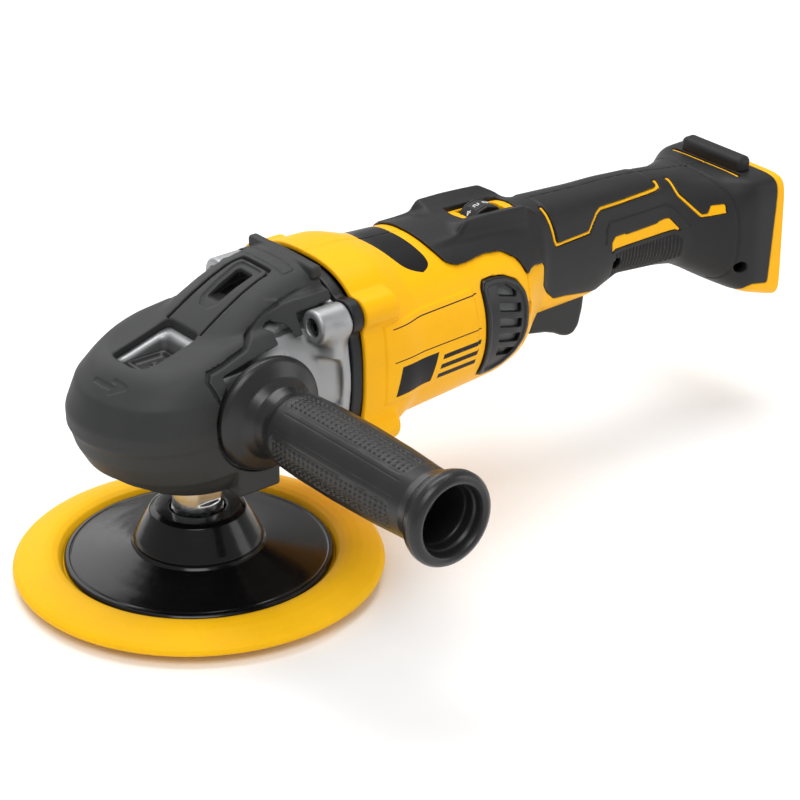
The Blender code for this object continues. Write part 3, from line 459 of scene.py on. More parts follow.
def make_finishes():
    def add(name, *args, **options):
        FINISHES[name] = finish(name, *args, **options)

    add("yellow_plastic", YELLOW, 0.36, grain=0.5, depth=0.012, mottle=0.03, wear=0.12, specular=0.12,
        paint=housing_print)
    # The boot rubber carries painted shade at the bottom of its air opening.
    add("boot_rubber", (0.029, 0.030, 0.0295), 0.56, grain=0.45, depth=0.03, mottle=0.1, wear=0.35, specular=0.3,
        paint=boot_opening_shade)
    add("grip_rubber", (0.0135, 0.0135, 0.014), 0.5, grain=0.4, depth=0.035, mottle=0.12, wear=0.3, specular=0.28)
    add("black_plastic", (0.008, 0.008, 0.0085), 0.36, grain=0.7, depth=0.012, mottle=0.12, wear=0.25, specular=0.35)
    add("gasket_plastic", (0.009, 0.010, 0.012), 0.42, grain=0.6, depth=0.015, mottle=0.12, wear=0.2, specular=0.3)
    add("handle_plastic", (0.014, 0.014, 0.0145), 0.32, grain=0.5, depth=0.015, mottle=0.1, wear=0.3, specular=0.4)
    add("glossy_black", (0.004, 0.004, 0.0045), 0.16, grain=3.0, depth=0.01, mottle=0.15, wear=0.2, specular=0.3,
        spread=0.03)
    add("grey_plastic", (0.09, 0.09, 0.095), 0.5, grain=0.6, depth=0.02, mottle=0.1, wear=0.3)
    add("button_plastic", (0.014, 0.014, 0.015), 0.42, grain=0.6, depth=0.02, wear=0.3)
    add("numeral_ink", (0.6, 0.6, 0.6), 0.5, grain=0.5, depth=0.01, mottle=0.05, wear=0.0)
    add("foam_skin", (0.93, 0.5, 0.006), 0.5, grain=0.9, depth=0.06, mottle=0.04, wear=0.0, specular=0.12,
        relief=lambda g: g.times(g.cells(0.8), 0.8))
    add("loop_face", (0.82, 0.4, 0.02), 0.9, grain=0.35, depth=0.2, mottle=0.1, wear=0.0, specular=0.1,
        relief=lambda g: g.times(g.cells(1.1), 1.4))
    add("cast_aluminium", (0.36, 0.363, 0.368), 0.46, metallic=0.85, grain=0.55, depth=0.07, mottle=0.1, wear=0.3)
    add("steel", (0.6, 0.6, 0.61), 0.26, metallic=1.0, grain=0.5, depth=0.01, mottle=0.08, wear=0.4)
    add("chrome", (0.66, 0.67, 0.69), 0.2, metallic=1.0, grain=1.5, depth=0.004, mottle=0.04, wear=0.1, spread=0.03)
    add("black_steel", (0.035, 0.035, 0.037), 0.34, metallic=0.85, grain=0.5, depth=0.02, wear=0.5)
    add("laminations", (0.3, 0.3, 0.32), 0.45, metallic=0.8, grain=0.4, depth=0.03, wear=0.3, relief=ribbed)
    add("copper_wire", (0.72, 0.3, 0.13), 0.32, metallic=0.9, grain=0.5, depth=0.05, wear=0.2, relief=ribbed)
    add("circuit_board", (0.02, 0.11, 0.05), 0.45, grain=0.6, depth=0.03, mottle=0.2, wear=0.2)
    add("vent_screen", (0.3, 0.305, 0.31), 0.42, metallic=0.6, grain=0.5, depth=0.12, wear=0.0, relief=woven,
        paint=mesh_paint)
    add("brass_blades", (0.65, 0.48, 0.2), 0.3, metallic=1.0, grain=0.5, depth=0.01, wear=0.3)


CARRIED = {
    "black_steel": ["cover_screw_60", "cover_screw_180", "cover_screw_300", "housing_screw_1", "housing_screw_2",
                    "housing_screw_3"],
    "steel": ["pad_insert_nut", "lower_spindle_bearing", "upper_spindle_bearing", "bevel_pinion", "spindle_bevel_gear",
              "layshaft_wheel", "layshaft", "layshaft_front_bearing", "layshaft_rear_bearing", "motor_shaft",
              "motor_pinion", "motor_front_bearing", "motor_rear_bearing", "lock_pin", "side_handle_stud",
              "trigger_pin"],
    "laminations": ["rotor_core", "stator_core"],
    "copper_wire": ["stator_windings"],
    "circuit_board": ["hall_sensor_board"],
    "grey_plastic": ["motor_controller", "trigger_switch", "dial_potentiometer"],
    "black_plastic": ["cooling_fan", "motor_rear_bracket"],
}


def dress_cad_nodes():
    """Give the CAD nodes that stay in view of openings their own materials."""
    for name, nodes in CARRIED.items():
        for node in nodes:
            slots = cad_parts[node].data.materials
            slots.clear()
            slots.append(FINISHES[name])


# The head


HEAD = Table(
    [
        (58, -3.5, 31.2),
        (60.5, -4.6, 32.8),
        (64.5, -8.4, 36.4),
        (69.5, -12.2, 38.6),
        (70.5, -13.2, 39.9),
        (80, -17.6, 41.0),
        (88, -19.6, 41.6),
        (90, -20.3, 42.2),
        (97, -20.4, 42.3),
        (99, -20.0, 42.1),
        (110, -15.5, 41.5),
        (116, -10.0, 40.2),
        (122, -6.5, 37.4),
        (128, -5.0, 33.0),
        (134, -5.0, 30.5),
    ],
    0.7,
)
DECK = Table([(-80, 122), (-31, 122), (-6, 129), (8, 131), (30, 132)], 2.5)
RIDGE = Table(
    [(-24, 117.5), (-10, 127), (0, 133.5), (10, 139.5), (20, 144.8), (30, 148.8), (40, 151), (50, 152),
     (60, 152.3)],
    1.2,
)
CASE = Table([(4, 35, 21.5, 30), (12, 36, 29, 33), (22, 37, 34, 36), (41, 38.5, 38, 40), (49, 41, 40, 42),
              (58, 44, 44.5, 44)], 1.5)
CASE_BOX = Table([(4, 36, 21.5, 30), (12, 37, 30, 33), (22, 38, 38.5, 36), (41.2, 39.5, 44.5, 41.5),
                  (50, 44, 45.5, 43.5), (58, 44.5, 45.5, 44.5)], 0.3)


def head_side(p):
    x, y, z = p
    centre, radius = HEAD(z)
    return np.where(x < centre, np.hypot(x - centre, y) - radius, np.abs(y) - radius)


def case_body(p, table, grow=0.0):
    x, y, z = p
    width, up, down = table(x)
    reach = np.where(z > MOTOR_Z, up, down) + grow
    return np.maximum(np.maximum(oval(y, z - MOTOR_Z, width + grow, reach, 2.6), x - 58), 4 - grow - x)


def mirrored(p):
    return [p[0], np.abs(p[1]), p[2]]


PANEL_EDGE = [(-7.6, 120.4), (14.8, 123.8), (38.4, 126.6), (57, 128.4)]


def panel_edge(x):
    return np.interp(x, *zip(*PANEL_EDGE))


def boot_field():
    opening = Outline([(-9.8, 119.6)] + PANEL_EDGE + [(80, 130.0), (80, 73), (-3, 73), (-1.5, 84), (-3.4, 96),
                                                      (-7, 109)], 0.5)
    panel = Outline([(7.6, 127.6), (14, 132.6), (22, 137.2), (32, 141.2), (42, 143.8), (54, 145.2), (80, 146), (80, 90),
                     (14.8, 90), (14.8, 123.6)], 0.4)
    edge_line = [(-5.6, 92), (-8.8, 99), (-14, 110), (-17.6, 119.0), (-15.6, 122.4), (6.6, 127.4), (14, 132.6),
                 (22, 137.2), (32, 141.2), (42, 143.8), (53, 145.2)]
    strip = Outline([(-12, -13.4), (-2, -12.9), (34, -11.8), (37.5, -10.4), (37.5, 10.4), (34, 11.8), (-2, 12.9),
                     (-12, 13.4)], 0.6)
    scoop = Outline([(7.0, -3.2), (10.5, -6.6), (33.6, -8.6), (35.2, -7.4), (35.2, 7.4), (33.6, 8.6), (10.5, 6.6),
                     (7.0, 3.2)], 0.7)
    mouth = Outline([(10.0, -2.2), (13.5, -4.6), (31.0, -5.6), (32.0, -4.8), (32.0, 4.8), (31.0, 5.6), (13.5, 4.6),
                     (10.0, 2.2)], 0.5)
    window = Outline([(-38, -7), (-36.5, -10.4), (-31, -12.6), (-8, -12.9), (-4.6, -12.2), (-4, -10), (-4, 10),
                      (-4.6, 12.2), (-8, 12.9), (-31, 12.6), (-36.5, 10.4), (-38, 7)], 0.8)
    badge = Outline([(40.5, -17), (47, -17), (47, 17), (40.5, 17)], 0.4)
    arrow = [(-47.5, -13.5), (-49.8, -8.0), (-50.6, -2.0), (-50.4, 4.0)]

    def field(p):
        x, y, z = p
        m = mirrored(p)
        side = head_side(p)
        (deck,) = DECK(x)
        outer = smax(side, (z - deck) * 0.96, 5.5)
        outer = smax(np.maximum(outer, x - 24), 58.2 - z, 0.8)
        (ridge,) = RIDGE(x)
        inset = 1.5 * step_up(-panel(x, z), -0.25, 0.25) * step_up(x, 4, 8) * step_up(46 - x, 0, 6)
        hump = oval(y, z - 100, 31.0 - inset, ridge - 100, 3.6)
        hump = smax(hump, np.abs(x - 22.2) - 34.2, 1.0)
        hump = np.maximum(hump, 103 - z)
        outer = smin(outer, hump, 2.0)
        edge = panel_edge(x)
        half_width = 30.0 + 0.55 * (142.0 - z) - 0.5 * np.maximum(40.0 - x, 0)
        cheek = np.maximum(np.maximum((np.abs(y) - half_width) * 0.87, edge - z), np.maximum(z - 142, 26 - x))
        outer = smin(outer, np.maximum(cheek, x - 56.8), 1.5)
        collar = smax(np.hypot(y, z - MOTOR_Z) - 48.0, np.abs(x - 52.2) - 4.6, 0.8)
        collar = np.maximum(collar, 134.5 + 0.12 * np.abs(y) - z)
        outer = smin(outer, collar, 1.5)
        lip = box(p, (51, -25.6, 146), (56.5, 25.6, 152.6), 1.8)
        outer = smin(outer, lip, 1.2)
        boss = box(m, (-4, 30, 57.2), (19.5, 40.8, 72.5), 1.6)
        outer = smin(outer, boss, 1.2)
        # The strip along the middle, its groove, and the scoop of the air opening
        plan = strip(x, y)
        top_only = 112 - z
        groove = np.maximum(np.abs(plan) - 0.9, -4.5 - x)
        inset = np.maximum(plan, -(outer + 0.5))
        outer = cut(outer, np.maximum(inset, np.maximum(-4.0 - x, top_only)), 0.4)
        outer = cut(outer, smax(smax(groove, -(outer + 2.2), 0.3), top_only, 0.3), 0.5)
        line = np.maximum(path_distance((x, z), edge_line) - 0.9, 24.5 - np.abs(y))
        outer = cut(outer, smax(line, -(outer + 2.0), 0.3), 0.5)
        outer = cut(outer, smax(smax(scoop(x, y), -(outer + 1.0), 0.3), top_only, 0.3), 0.5)
        ramp = z - np.maximum(140.2 - 0.3 * (x - 8), 138.4)
        outer = cut(outer, np.maximum(mouth(x, y), -ramp), 0.5)
        outer = cut(outer, smax(smax(np.abs(badge(x, y)) - 0.35, -(outer + 0.45), 0.2), 145 - z, 0.2), 0.3)
        turn = path_distance((x, y), arrow)
        head = path_distance((x, y), [(-51.5, -8.6), (-46.6, -14.2), (-47.4, -6.8)])
        mark = np.minimum(turn - 0.9, head - 0.9)
        outer = cut(outer, smax(smax(mark, -(outer + 0.6), 0.3), top_only, 0.3), 0.5)
        # Windows and side openings
        outer = cut(outer, smax(window(x, y), 108 - z, 0.3), 0.9)
        outer = cut(outer, smax(opening(x, z), 28.0 - np.abs(y), 0.5), 0.8)
        flange = rod(m, (HANDLE_X, 39.2, HANDLE_Z), (HANDLE_X, 60, HANDLE_Z), 29.0)
        bossroom = rod(m, (HANDLE_X, 20, HANDLE_Z), (HANDLE_X, 60, HANDLE_Z), 15.8)
        outer = cut(outer, np.minimum(flange, bossroom), 0.6)
        outer = cut(outer, rod(m, (37, 38.5, 130), (60, 38.5, 130), 9.2), 0.8)
        # Room inside for the gear case
        room = np.maximum(side + HEAD_ROOM, z - 118.3)
        room = np.maximum(room, x - 30)
        frame_room = np.maximum(np.abs(y) - 14.9, np.maximum(np.abs(x - LOCK_X) - 20.4, z - deck + 3.7))
        room = np.minimum(room, frame_room)
        return cut(cut(outer, room, 0.8), case_body(p, CASE_BOX, 0.7), 0.5)

    return field


def case_keep_out(p):
    """Positive where the boot's roof has to stay clear of the casting."""
    x, y, z = p
    (ridge,) = RIDGE(x)
    roof = oval(y, z - 100, 27.0, ridge - 103.5, 3.6)
    return np.where((z > panel_edge(x) + 0.6) & (x > 6) & (x < 52.0), roof, -FAR)


def case_field():
    def field(p):
        x, y, z = p
        m = mirrored(p)
        inner = np.maximum(np.maximum(head_side(p) + HEAD_ROOM + 0.3, z - 117.9), 62 - z)
        d = np.maximum(inner, x - 26)
        d = smin(d, case_body(p, CASE), 4.0)
        d = smax(d, case_keep_out(p), 1.5)
        d = smin(d, rod(m, (HANDLE_X, 18, HANDLE_Z), (HANDLE_X, 39.6, HANDLE_Z), 15.0, 0.8), 3.0)
        ring = rod(m, (53.2, 0, MOTOR_Z), (58, 0, MOTOR_Z), 45.2, 1.0)
        d = smin(d, ring, 2.5)
        (deck,) = DECK(x)
        bezel = np.maximum(np.maximum(np.abs(y) - 14.4, np.abs(x - LOCK_X) - 20.0), z - deck + 4.1)
        d = smin(d, np.maximum(bezel, 108 - z), 0.5)
        for y0, z0 in SCREW_PLACES[::2]:
            d = smin(d, rod(m, (40.5, y0, z0), (58, y0, z0), 8.3, 1.8), 3.5)
            stem = rod(m, (54, y0 + 1.5, z0), (50, y0 + 1.0, z0 - 16 if z0 > 100 else z0 + 16), 5.0)
            d = smin(d, stem, 6.0)
            d = cut(d, rod(m, (38, y0, z0), (46.7, y0, z0), 4.6), 0.5)
            d = cut(d, rod(m, (43, y0, z0), (60, y0, z0), 2.5), 0.2)
        for low, high, radius in (((0, 0, 60), (0, 0, 84.5), 24), ((0, 0, 84), (0, 0, 98.5), 33.2),
                                  ((0, 0, 98), (0, 0, 108), 13.4), ((8, 0, 80), (43, 0, 80), 11.4),
                                  ((41.5, 0, 100), (60, 0, 100), 37.6), ((LOCK_X, 0, 101.5), (LOCK_X, 0, 110), 5.2),
                                  ((LOCK_X, 0, 96), (LOCK_X, 0, 103), 2.7)):
            d = cut(d, rod(p, low, high, radius), 0.4)
        d = cut(d, box(p, (LOCK_X - 12.5, -9.3, 108.5), (LOCK_X + 12.5, 9.3, 135), 3.0), 3.0)
        d = cut(d, rod(m, (HANDLE_X, 32.4, HANDLE_Z), (HANDLE_X, 42, HANDLE_Z), 4.3), 0.3)
        for cx, cy in COVER_SCREWS:
            d = cut(d, rod(p, (cx, cy, 60), (cx, cy, 72), 2.3), 0.2)
        return np.maximum(d, x - 58)

    return field


def cover_field(p):
    x, y, z = p
    plan = np.where(x < -5, np.hypot(x + 5, y), np.abs(y)) - 29.2
    d = smax(smax(plan, x - 22, 2.0), np.abs(z - 59.5) - 1.9, 0.8)
    d = smin(d, rod(p, (0, 0, 60.5), (0, 0, 68.5), 19.4, 0.5), 1.5)
    d = cut(d, rod(p, (0, 0, 59.9), (0, 0, 72), 16.5), 0.3)
    d = cut(d, rod(p, (0, 0, 55), (0, 0, 61), 12.8), 0.8)
    d = cut(d, np.abs(np.hypot(x, y) - 21.5) - 1.0 + np.maximum(z - 58.2, 0) * 3, 0.5)
    for cx, cy in COVER_SCREWS:
        d = cut(d, rod(p, (cx, cy, 56), (cx, cy, 64), 2.2), 0.2)
        d = cut(d, rod(p, (cx, cy, 56), (cx, cy, 60.2), 4.2), 0.4)
    return d


def button_field(p):
    x, y, z = p
    d = box(p, (LOCK_X - 11.8, -8.6, 112.2), (LOCK_X + 11.8, 8.6, 117.6), 2.4)
    dish = box(p, (LOCK_X - 9.0, -6.6, 115.4), (LOCK_X + 9.0, 6.6, 123), 2.6)
    d = cut(d, dish, 1.0)
    dimple = np.sqrt((x - LOCK_X) ** 2 + y**2 + (z - 116.6) ** 2) - 2.0
    ring = np.hypot(np.hypot(x - LOCK_X, y) - 2.3, z - 115.4) - 0.35
    return smin(cut(d, dimple, 0.4), ring, 0.4)


def gasket_field(p):
    x, y, z = p
    m = mirrored(p)
    ring = smin(oval(y, z - MOTOR_Z, 45.9, 46.7, 2.5), np.hypot(np.abs(y) - 38.5, z - 130) - 8.6, 3.0)
    ring = smin(ring, np.hypot(np.abs(y) - 38.5, z - 70) - 8.6, 3.0)
    d = smax(ring, np.abs(x - 61.4) - 3.1, 0.8)
    d = smin(d, rod(p, (52, 0, LAYSHAFT_Z), (60, 0, LAYSHAFT_Z), 10.6), 0.5)
    d = smin(d, rod(p, (62, 0, MOTOR_Z), (67.5, 0, MOTOR_Z), 14.0), 0.5)
    d = cut(d, rod(p, (50, 0, LAYSHAFT_Z), (58, 0, LAYSHAFT_Z), 8.8), 0.2)
    d = cut(d, rod(p, (60.3, 0, MOTOR_Z), (70, 0, MOTOR_Z), 11.3), 0.2)
    d = cut(d, rod(p, (50, 0, MOTOR_Z), (70, 0, MOTOR_Z), 7.2), 0.2)
    for y0, z0 in SCREW_PLACES[::2]:
        d = cut(d, rod(m, (50, y0, z0), (70, y0, z0), 2.5), 0.2)
    return d


def screw_field(y0, z0):
    def field(p):
        x, y, z = p
        d = rod(p, (42.0, y0, z0), (46.4, y0, z0), 3.9, 0.5)
        d = smin(d, rod(p, (46, y0, z0), (82.5, y0, z0), 2.1), 0.2)
        a, b = np.abs(y - y0), np.abs(z - z0)
        hexagon = np.maximum(a * 0.8660254 + b * 0.5, b) - 1.9
        return cut(d, np.maximum(hexagon, x - 44.6), 0.2)

    return field


# The side handle


HANDLE_PROFILE = Outline(
    [(4.4, 40), (27.7, 40), (27.7, 42.9), (26.2, 44.8), (19.8, 48.2), (16.6, 52), (15.2, 57), (15.1, 61.0),
     (17.2, 61.3), (18.1, 64), (18.9, 80), (19.1, 105), (18.5, 132), (17.5, 150), (17.3, 157), (18.4, 162),
     (21.0, 165.2), (22.2, 168.6), (22.2, 171.4), (21.0, 173.6), (18.8, 174.6), (17.0, 174.0), (16.2, 172.0),
     (15.9, 169.6), (14.9, 168.6), (14.9, 164.5), (14.1, 163.6), (13.7, 146), (-5, 146), (-5, 84), (4.4, 84)],
    0.35,
)


def handle_field(p):
    x, y, z = p
    along = -y
    radius = np.hypot(x - HANDLE_X, z - HANDLE_Z)
    angle = np.degrees(np.arctan2(z - HANDLE_Z, x - HANDLE_X))
    d = HANDLE_PROFILE(radius, along)
    turn = (angle - 97.0 + 45.0 + 720.0) % 90.0 - 45.0
    around = np.radians(turn) * 18.8
    # Four dotted panels, each in a thin frame, and a pair of thin lines along the plain strips between them
    a, b = np.abs(around) - 7.6 + 3.0, np.abs(along - 108.5) - 41.5 + 3.0
    panel = np.hypot(np.maximum(a, 0), np.maximum(b, 0)) + np.minimum(np.maximum(a, b), 0) - 3.0
    dots = np.maximum(np.cos(2 * np.pi * along / 3.3), 0) * np.maximum(np.cos(2 * np.pi * around / 2.5), 0)
    outside = step_up(radius, 16.0, 16.6)
    inside = step_up(-panel, 0.6, 1.2) * outside
    d = d + inside * (0.45 - 0.85 * dots**0.7)
    line = np.maximum(0.55 - np.abs(panel + 0.2), 0) * outside
    strips = np.maximum(0.5 - np.abs(45.0 - np.abs(turn) - 13.0) * 0.33, 0) * step_up(41 - np.abs(along - 110), 0, 1)
    return d + 0.5 * line + 0.35 * strips * outside


# The body


BODY = Table(
    [
        (60, 100, 47.5, 49.5, 49.5, 2.7),
        (86, 100, 47, 49, 49, 2.7),
        (93, 100, 46.6, 47.6, 47.6, 2.4),
        (101, 100, 45, 45.4, 45.4, 2.1),
        (163, 100, 41.8, 42.2, 42, 2),
        (175, 100.5, 38.8, 41.3, 39.3, 2),
        (186, 104.5, 30.5, 36.8, 34, 2.2),
        (198.5, 108.5, 22.2, 31.2, 29.8, 2.4),
        (238, 108, 20.2, 29, 29, 2.5),
        (256, 111.3, 19.8, 25.2, 25.2, 2.4),
        (285, 108.6, 20, 25.5, 25.5, 2.4),
        (298, 106.5, 22.5, 25.5, 25.5, 2.4),
        (310, 102.5, 28, 28, 28, 2.8),
        (321, 98, 34, 31, 30.5, 3.5),
        (331, 95, 37.4, 33, 32.5, 7),
        (350, 92.3, 38.1, 34.5, 35.1, 10),
        (360, 92.3, 38.1, 34.5, 35.1, 10),
    ],
    2.5,
)
COVERED = Outline(
    [(123, 190), (123, 146), (125.6, 140.4), (128.6, 135.2), (133.7, 133), (140.6, 132.8), (152.3, 133.3), (163, 132),
     (170.4, 127.2), (173, 122.9), (174.6, 118.5), (178, 120), (182.5, 120), (193.8, 116), (195.6, 113),
     (194.7, 103.6), (200, 97), (206.9, 90.9), (215.8, 89.7), (225.6, 87.4), (240, 84), (244, 70), (247, 40),
     (327.0, 40), (327.4, 62.5), (329.0, 68.6), (331.4, 70.2), (341.0, 68.6), (345.3, 123.6), (346, 190)],
    0.5, margin=12.0,
)
FIRST_LINE = [(204.8, 138.4), (205.3, 134.8), (205.5, 123), (206.4, 120.6), (229, 121), (232.4, 124.7),
              (236.5, 128.3), (239.8, 129.7), (278.8, 129.5), (282.2, 130), (282.6, 131.8), (280.3, 134.1)]
SECOND_LINE = [(290.2, 132.5), (291.7, 130.7), (291.8, 126.7), (292.6, 124.1), (303.2, 112.1), (308, 112.2),
               (315, 113)]
PATCH = Outline([(303.2, 111.4), (306, 111.6), (315.4, 112.4), (315.6, 117.2), (308.4, 117.0), (306.6, 113.2)], 0.3)
PLATE = Outline([(245.2, 105.3), (245, 111.3), (247.2, 114), (253.5, 114), (255.3, 113.2), (275.9, 113.7),
                 (277.6, 114.6), (281.9, 114.8), (284.8, 114.4), (291.9, 106.6), (290.1, 106.3), (288.3, 107.3),
                 (247.4, 107)], 0.3)
PALM = Outline([(205.5, 150), (206.2, 121.4), (228.6, 121.8), (232, 125.4), (236.3, 129.0), (239.8, 130.4),
                (281.6, 130.4), (279, 136), (279, 150)], 0.6)
RIBS = Outline([(246.5, 88), (246.5, 105.5), (288, 105.5), (293.5, 103), (296, 90), (270, 84)], 1.0)
VENT = Outline([(144.0, 73.0), (142.6, 76.5), (142.6, 120.5), (144.6, 123.7), (151, 123.9), (158.5, 122.6),
                (166, 118.8), (170.0, 112.6), (171.4, 106), (171.4, 94), (170.0, 87.4), (166, 81.2), (158.5, 75.0),
                (151, 72.6)], 0.7)
BARS = [Outline(points, 0.35) for points in (
    [(152.6, 119.2), (152.2, 115.2), (163.2, 112.0), (163.6, 114.4), (158.5, 118.6)],
    [(152.0, 111.8), (151.6, 107.6), (165.6, 103.6), (166.0, 107.8)],
    [(151.4, 104.2), (151.2, 99.6), (166.0, 95.4), (166.2, 99.8)],
    [(151.0, 96.2), (151.0, 91.6), (165.4, 87.4), (166.2, 91.8)],
    [(151.0, 88.2), (151.4, 83.6), (160.6, 81.0), (164.0, 83.8)],
)]


def body_skin(p):
    x, y, z = p
    middle, width, up, down, power = BODY(x)
    return oval(y, z - middle, width, np.where(z > middle, up, down), power)


def black_region(p):
    """Negative where the soft cover lies over the hard housing."""
    x, y, z = p
    d = COVERED(x, z)
    line = np.minimum(path_distance((x, z), FIRST_LINE), path_distance((x, z), SECOND_LINE)) - 0.85
    line = np.minimum(line, np.minimum(PATCH(x, z), PLATE(x, z)))
    line = np.maximum(line, 9.0 - np.abs(y))
    d = np.maximum(d, -line)
    stripe = np.maximum(np.maximum(np.abs(x - 328.4) - 0.75, np.abs(y) - 24.5), 120 - z)
    rim = np.maximum(np.maximum(np.abs(y) - 7.9, np.abs(x - 173.7) - 18.1 + 0.15 * np.abs(y)), 130 - z)
    return np.maximum(np.maximum(d, -stripe), -rim)


def housing_outer(p):
    x, y, z = p
    m = mirrored(p)
    d = body_skin(p)
    for y0, z0 in ((40.6, 130.8), (41.6, 70.0)):
        d = smin(d, rod(m, (60, y0, z0), (85, y0, z0), 8.0, 2.5), 3.0)
    raised = np.maximum(np.abs(x - 107) - 30, np.abs(z - 102.4) - 20.4)
    d = d - 0.7 * step_up(-raised, -0.4, 0.8) * step_up(np.abs(y), 30, 34) * step_up(150 - x, 0, 5)
    return d


def machine_slots(p, grow):
    """The openings for the trigger and the speed dial."""
    slot = box(p, (193.5 - grow, -11.3 - grow, 55), (241.5 + grow, 11.3 + grow, 90.6 + grow), 1.0)
    well = box(p, (162.0 - grow, -6.6 - grow, 120), (186.0 + grow, 6.6 + grow, 160), 1.0)
    return np.minimum(slot, well)


def housing_field(p):
    x, y, z = p
    m = mirrored(p)
    skin = body_skin(p)
    outer = housing_outer(p)
    black = black_region(p)
    d = smax(outer, -smax(black - 0.12, -(skin + 2.2), 0.3), 0.5)
    # The split line between the halves, and the seam where the barrel meets the handle
    d = cut(d, np.maximum(np.abs(y) - 0.3, -(outer + 0.5)), 0.3)
    seam = path_distance((x, z), [(176.4, 124), (175, 118), (173.6, 108), (173.4, 104.8), (172.0, 96), (172.2, 84),
                                  (176, 74), (186, 66)])
    d = cut(d, np.maximum(seam - 0.35, -(outer + 0.7)), 0.4)
    notch = np.maximum(path_distance((x, z), [(174.0, 104.6), (173.2, 99.8)]) - 0.9, 20 - np.abs(y))
    d = cut(d, np.maximum(notch, -(outer + 1.6)), 0.4)
    covered = step_up(-black, -3.0, -0.5)
    d = cut(d, skin + SHELL + 2.2 * covered, 0.3)
    d = cut(d, np.maximum(VENT(x, z) - 0.3, 20 - np.abs(y)), 0.5)
    d = cut(d, machine_slots(p, 0.0), 0.8)
    for y0, z0 in SCREW_PLACES[::2]:
        d = smin(d, rod(m, (FRONT, y0, z0), (86, y0, z0), 5.4), 1.0)
        d = cut(d, rod(m, (60, y0, z0), (83.5, y0, z0), 2.7), 0.2)
    for x0, z0 in BODY_SCREWS:
        post = np.maximum(rod(p, (x0, -60, z0), (x0, 60, z0), 4.2), outer + (1.0 if x0 < 200 else 3.4))
        d = smin(d, post, 0.5)
        d = cut(d, rod(p, (x0, -60, z0), (x0, 10, z0), 2.4), 0.2)
        d = cut(d, rod(p, (x0, -60, z0), (x0, -8.9, z0), 4.0), 0.3)
    d = cut(d, rod(p, (TRIGGER_PIN_X, -16.6, TRIGGER_PIN_Z), (TRIGGER_PIN_X, 16.6, TRIGGER_PIN_Z), 2.3), 0.2)
    d = smax(d, FRONT - x, 0.8)
    return smax(d, x - REAR, 0.8)


RAIL = Outline([(124, 120), (124, 140.5), (136, 141.6), (143.0, 142.6), (145.6, 145.6), (148.2, 148.0),
                (163, 147.7), (175, 146.9), (186, 146.0), (194.5, 143.4), (200, 139.6), (207, 135.0), (215, 131),
                (215, 118)], 0.9)


def soft_cover_field(p):
    x, y, z = p
    skin = body_skin(p)
    black = black_region(p)
    lift = 0.25 + 1.1 * (1 - step_up(x, 184, 200))
    outer = skin - lift
    across = np.abs(y)
    dip = 0.45 * np.maximum(17.4 - across, 0)
    taper = 0.55 * np.maximum(x - 187, 0)
    rail = smax(RAIL(x, z + dip) * 0.9, across - 19.6 + taper, 3.2)
    outer = smin(outer, rail, 3.0)
    outer = outer - 0.55 * step_up(-PALM(x, z), -0.3, 0.9)
    ribs = step_up(-RIBS(x, z), 0.0, 1.5)
    outer = outer + ribs * (0.45 - 0.55 * np.cos(2 * np.pi * (x + 0.12 * z) / 2.3))
    groove = path_distance((x, z), [(240.5, 112), (241, 119), (243.5, 122.6), (251, 122.3), (282, 122.2), (287, 119.4),
                                    (297, 108)])
    outer = cut(outer, smax(groove - 0.45, -(outer + 0.5), 0.2), 0.5)
    top = np.maximum(np.maximum(np.abs(y) - 0.3, -(outer + 0.5)), 203 - x)
    outer = cut(outer, top, 0.4)
    crease = path_distance((x, z), [(312, 132), (317.5, 124), (320.5, 112), (321.5, 98), (320.5, 84), (317, 72)])
    outer = cut(outer, smax(crease - 0.5, -(outer + 0.6), 0.3), 1.0)
    slit = np.maximum(np.maximum(np.abs(x - 330.1) - 0.9, np.abs(y) - 25), 120 - z)
    outer = cut(outer, slit, 0.3)
    d = smax(outer, black + 0.12, 0.5)
    d = smax(d, -(skin + 2.0), 0.3)
    d = cut(d, machine_slots(p, 0.5), 0.8)
    for x0, z0 in BODY_SCREWS[1:]:
        d = cut(d, rod(p, (x0, -60, z0), (x0, -8, z0), 3.2), 0.8)
    return d


def vent_field(side):
    def field(p):
        x, y, z = p
        skin = body_skin(p)
        plan = VENT(x, z)
        border = step_up(-plan, 2.2, 3.4)
        d = smax(skin - 1.3 + 0.9 * border, -(skin + 2.4), 0.5)
        d = smax(d, plan, 0.9)
        for bar in BARS:
            d = cut(d, bar(x, z), 0.7)
        return np.maximum(d, 18 - side * y)

    return field


def screen_field(side):
    def field(p):
        x, y, z = p
        skin = body_skin(p)
        d = np.maximum(np.abs(skin + 2.9) - 0.35, VENT(x, z) + 2.4)
        return np.maximum(d, 18 - side * y)

    return field


TRIGGER = Outline([(197.6, 80), (198.0, 69.6), (204, 68.4), (211, 67.0), (217, 64.8), (222, 62.0), (226, 60.8),
                   (230, 61.4), (233.4, 65.2), (235.8, 74), (237.2, 85), (236.5, 92.6), (206, 92.6), (198.4, 91)], 0.8)


def trigger_field(p):
    x, y, z = p
    d = smax(TRIGGER(x, z), np.abs(y) - 10.3, 3.2)
    finger = np.hypot(z - 50.5 + 0.36 * (x - 205), (x - 205) * 0.25) - 15.5
    d = cut(d, np.maximum(finger, np.abs(y) - 8.5), 2.0)
    return cut(d, rod(p, (TRIGGER_PIN_X, -20, TRIGGER_PIN_Z), (TRIGGER_PIN_X, 20, TRIGGER_PIN_Z), 2.4), 0.2)


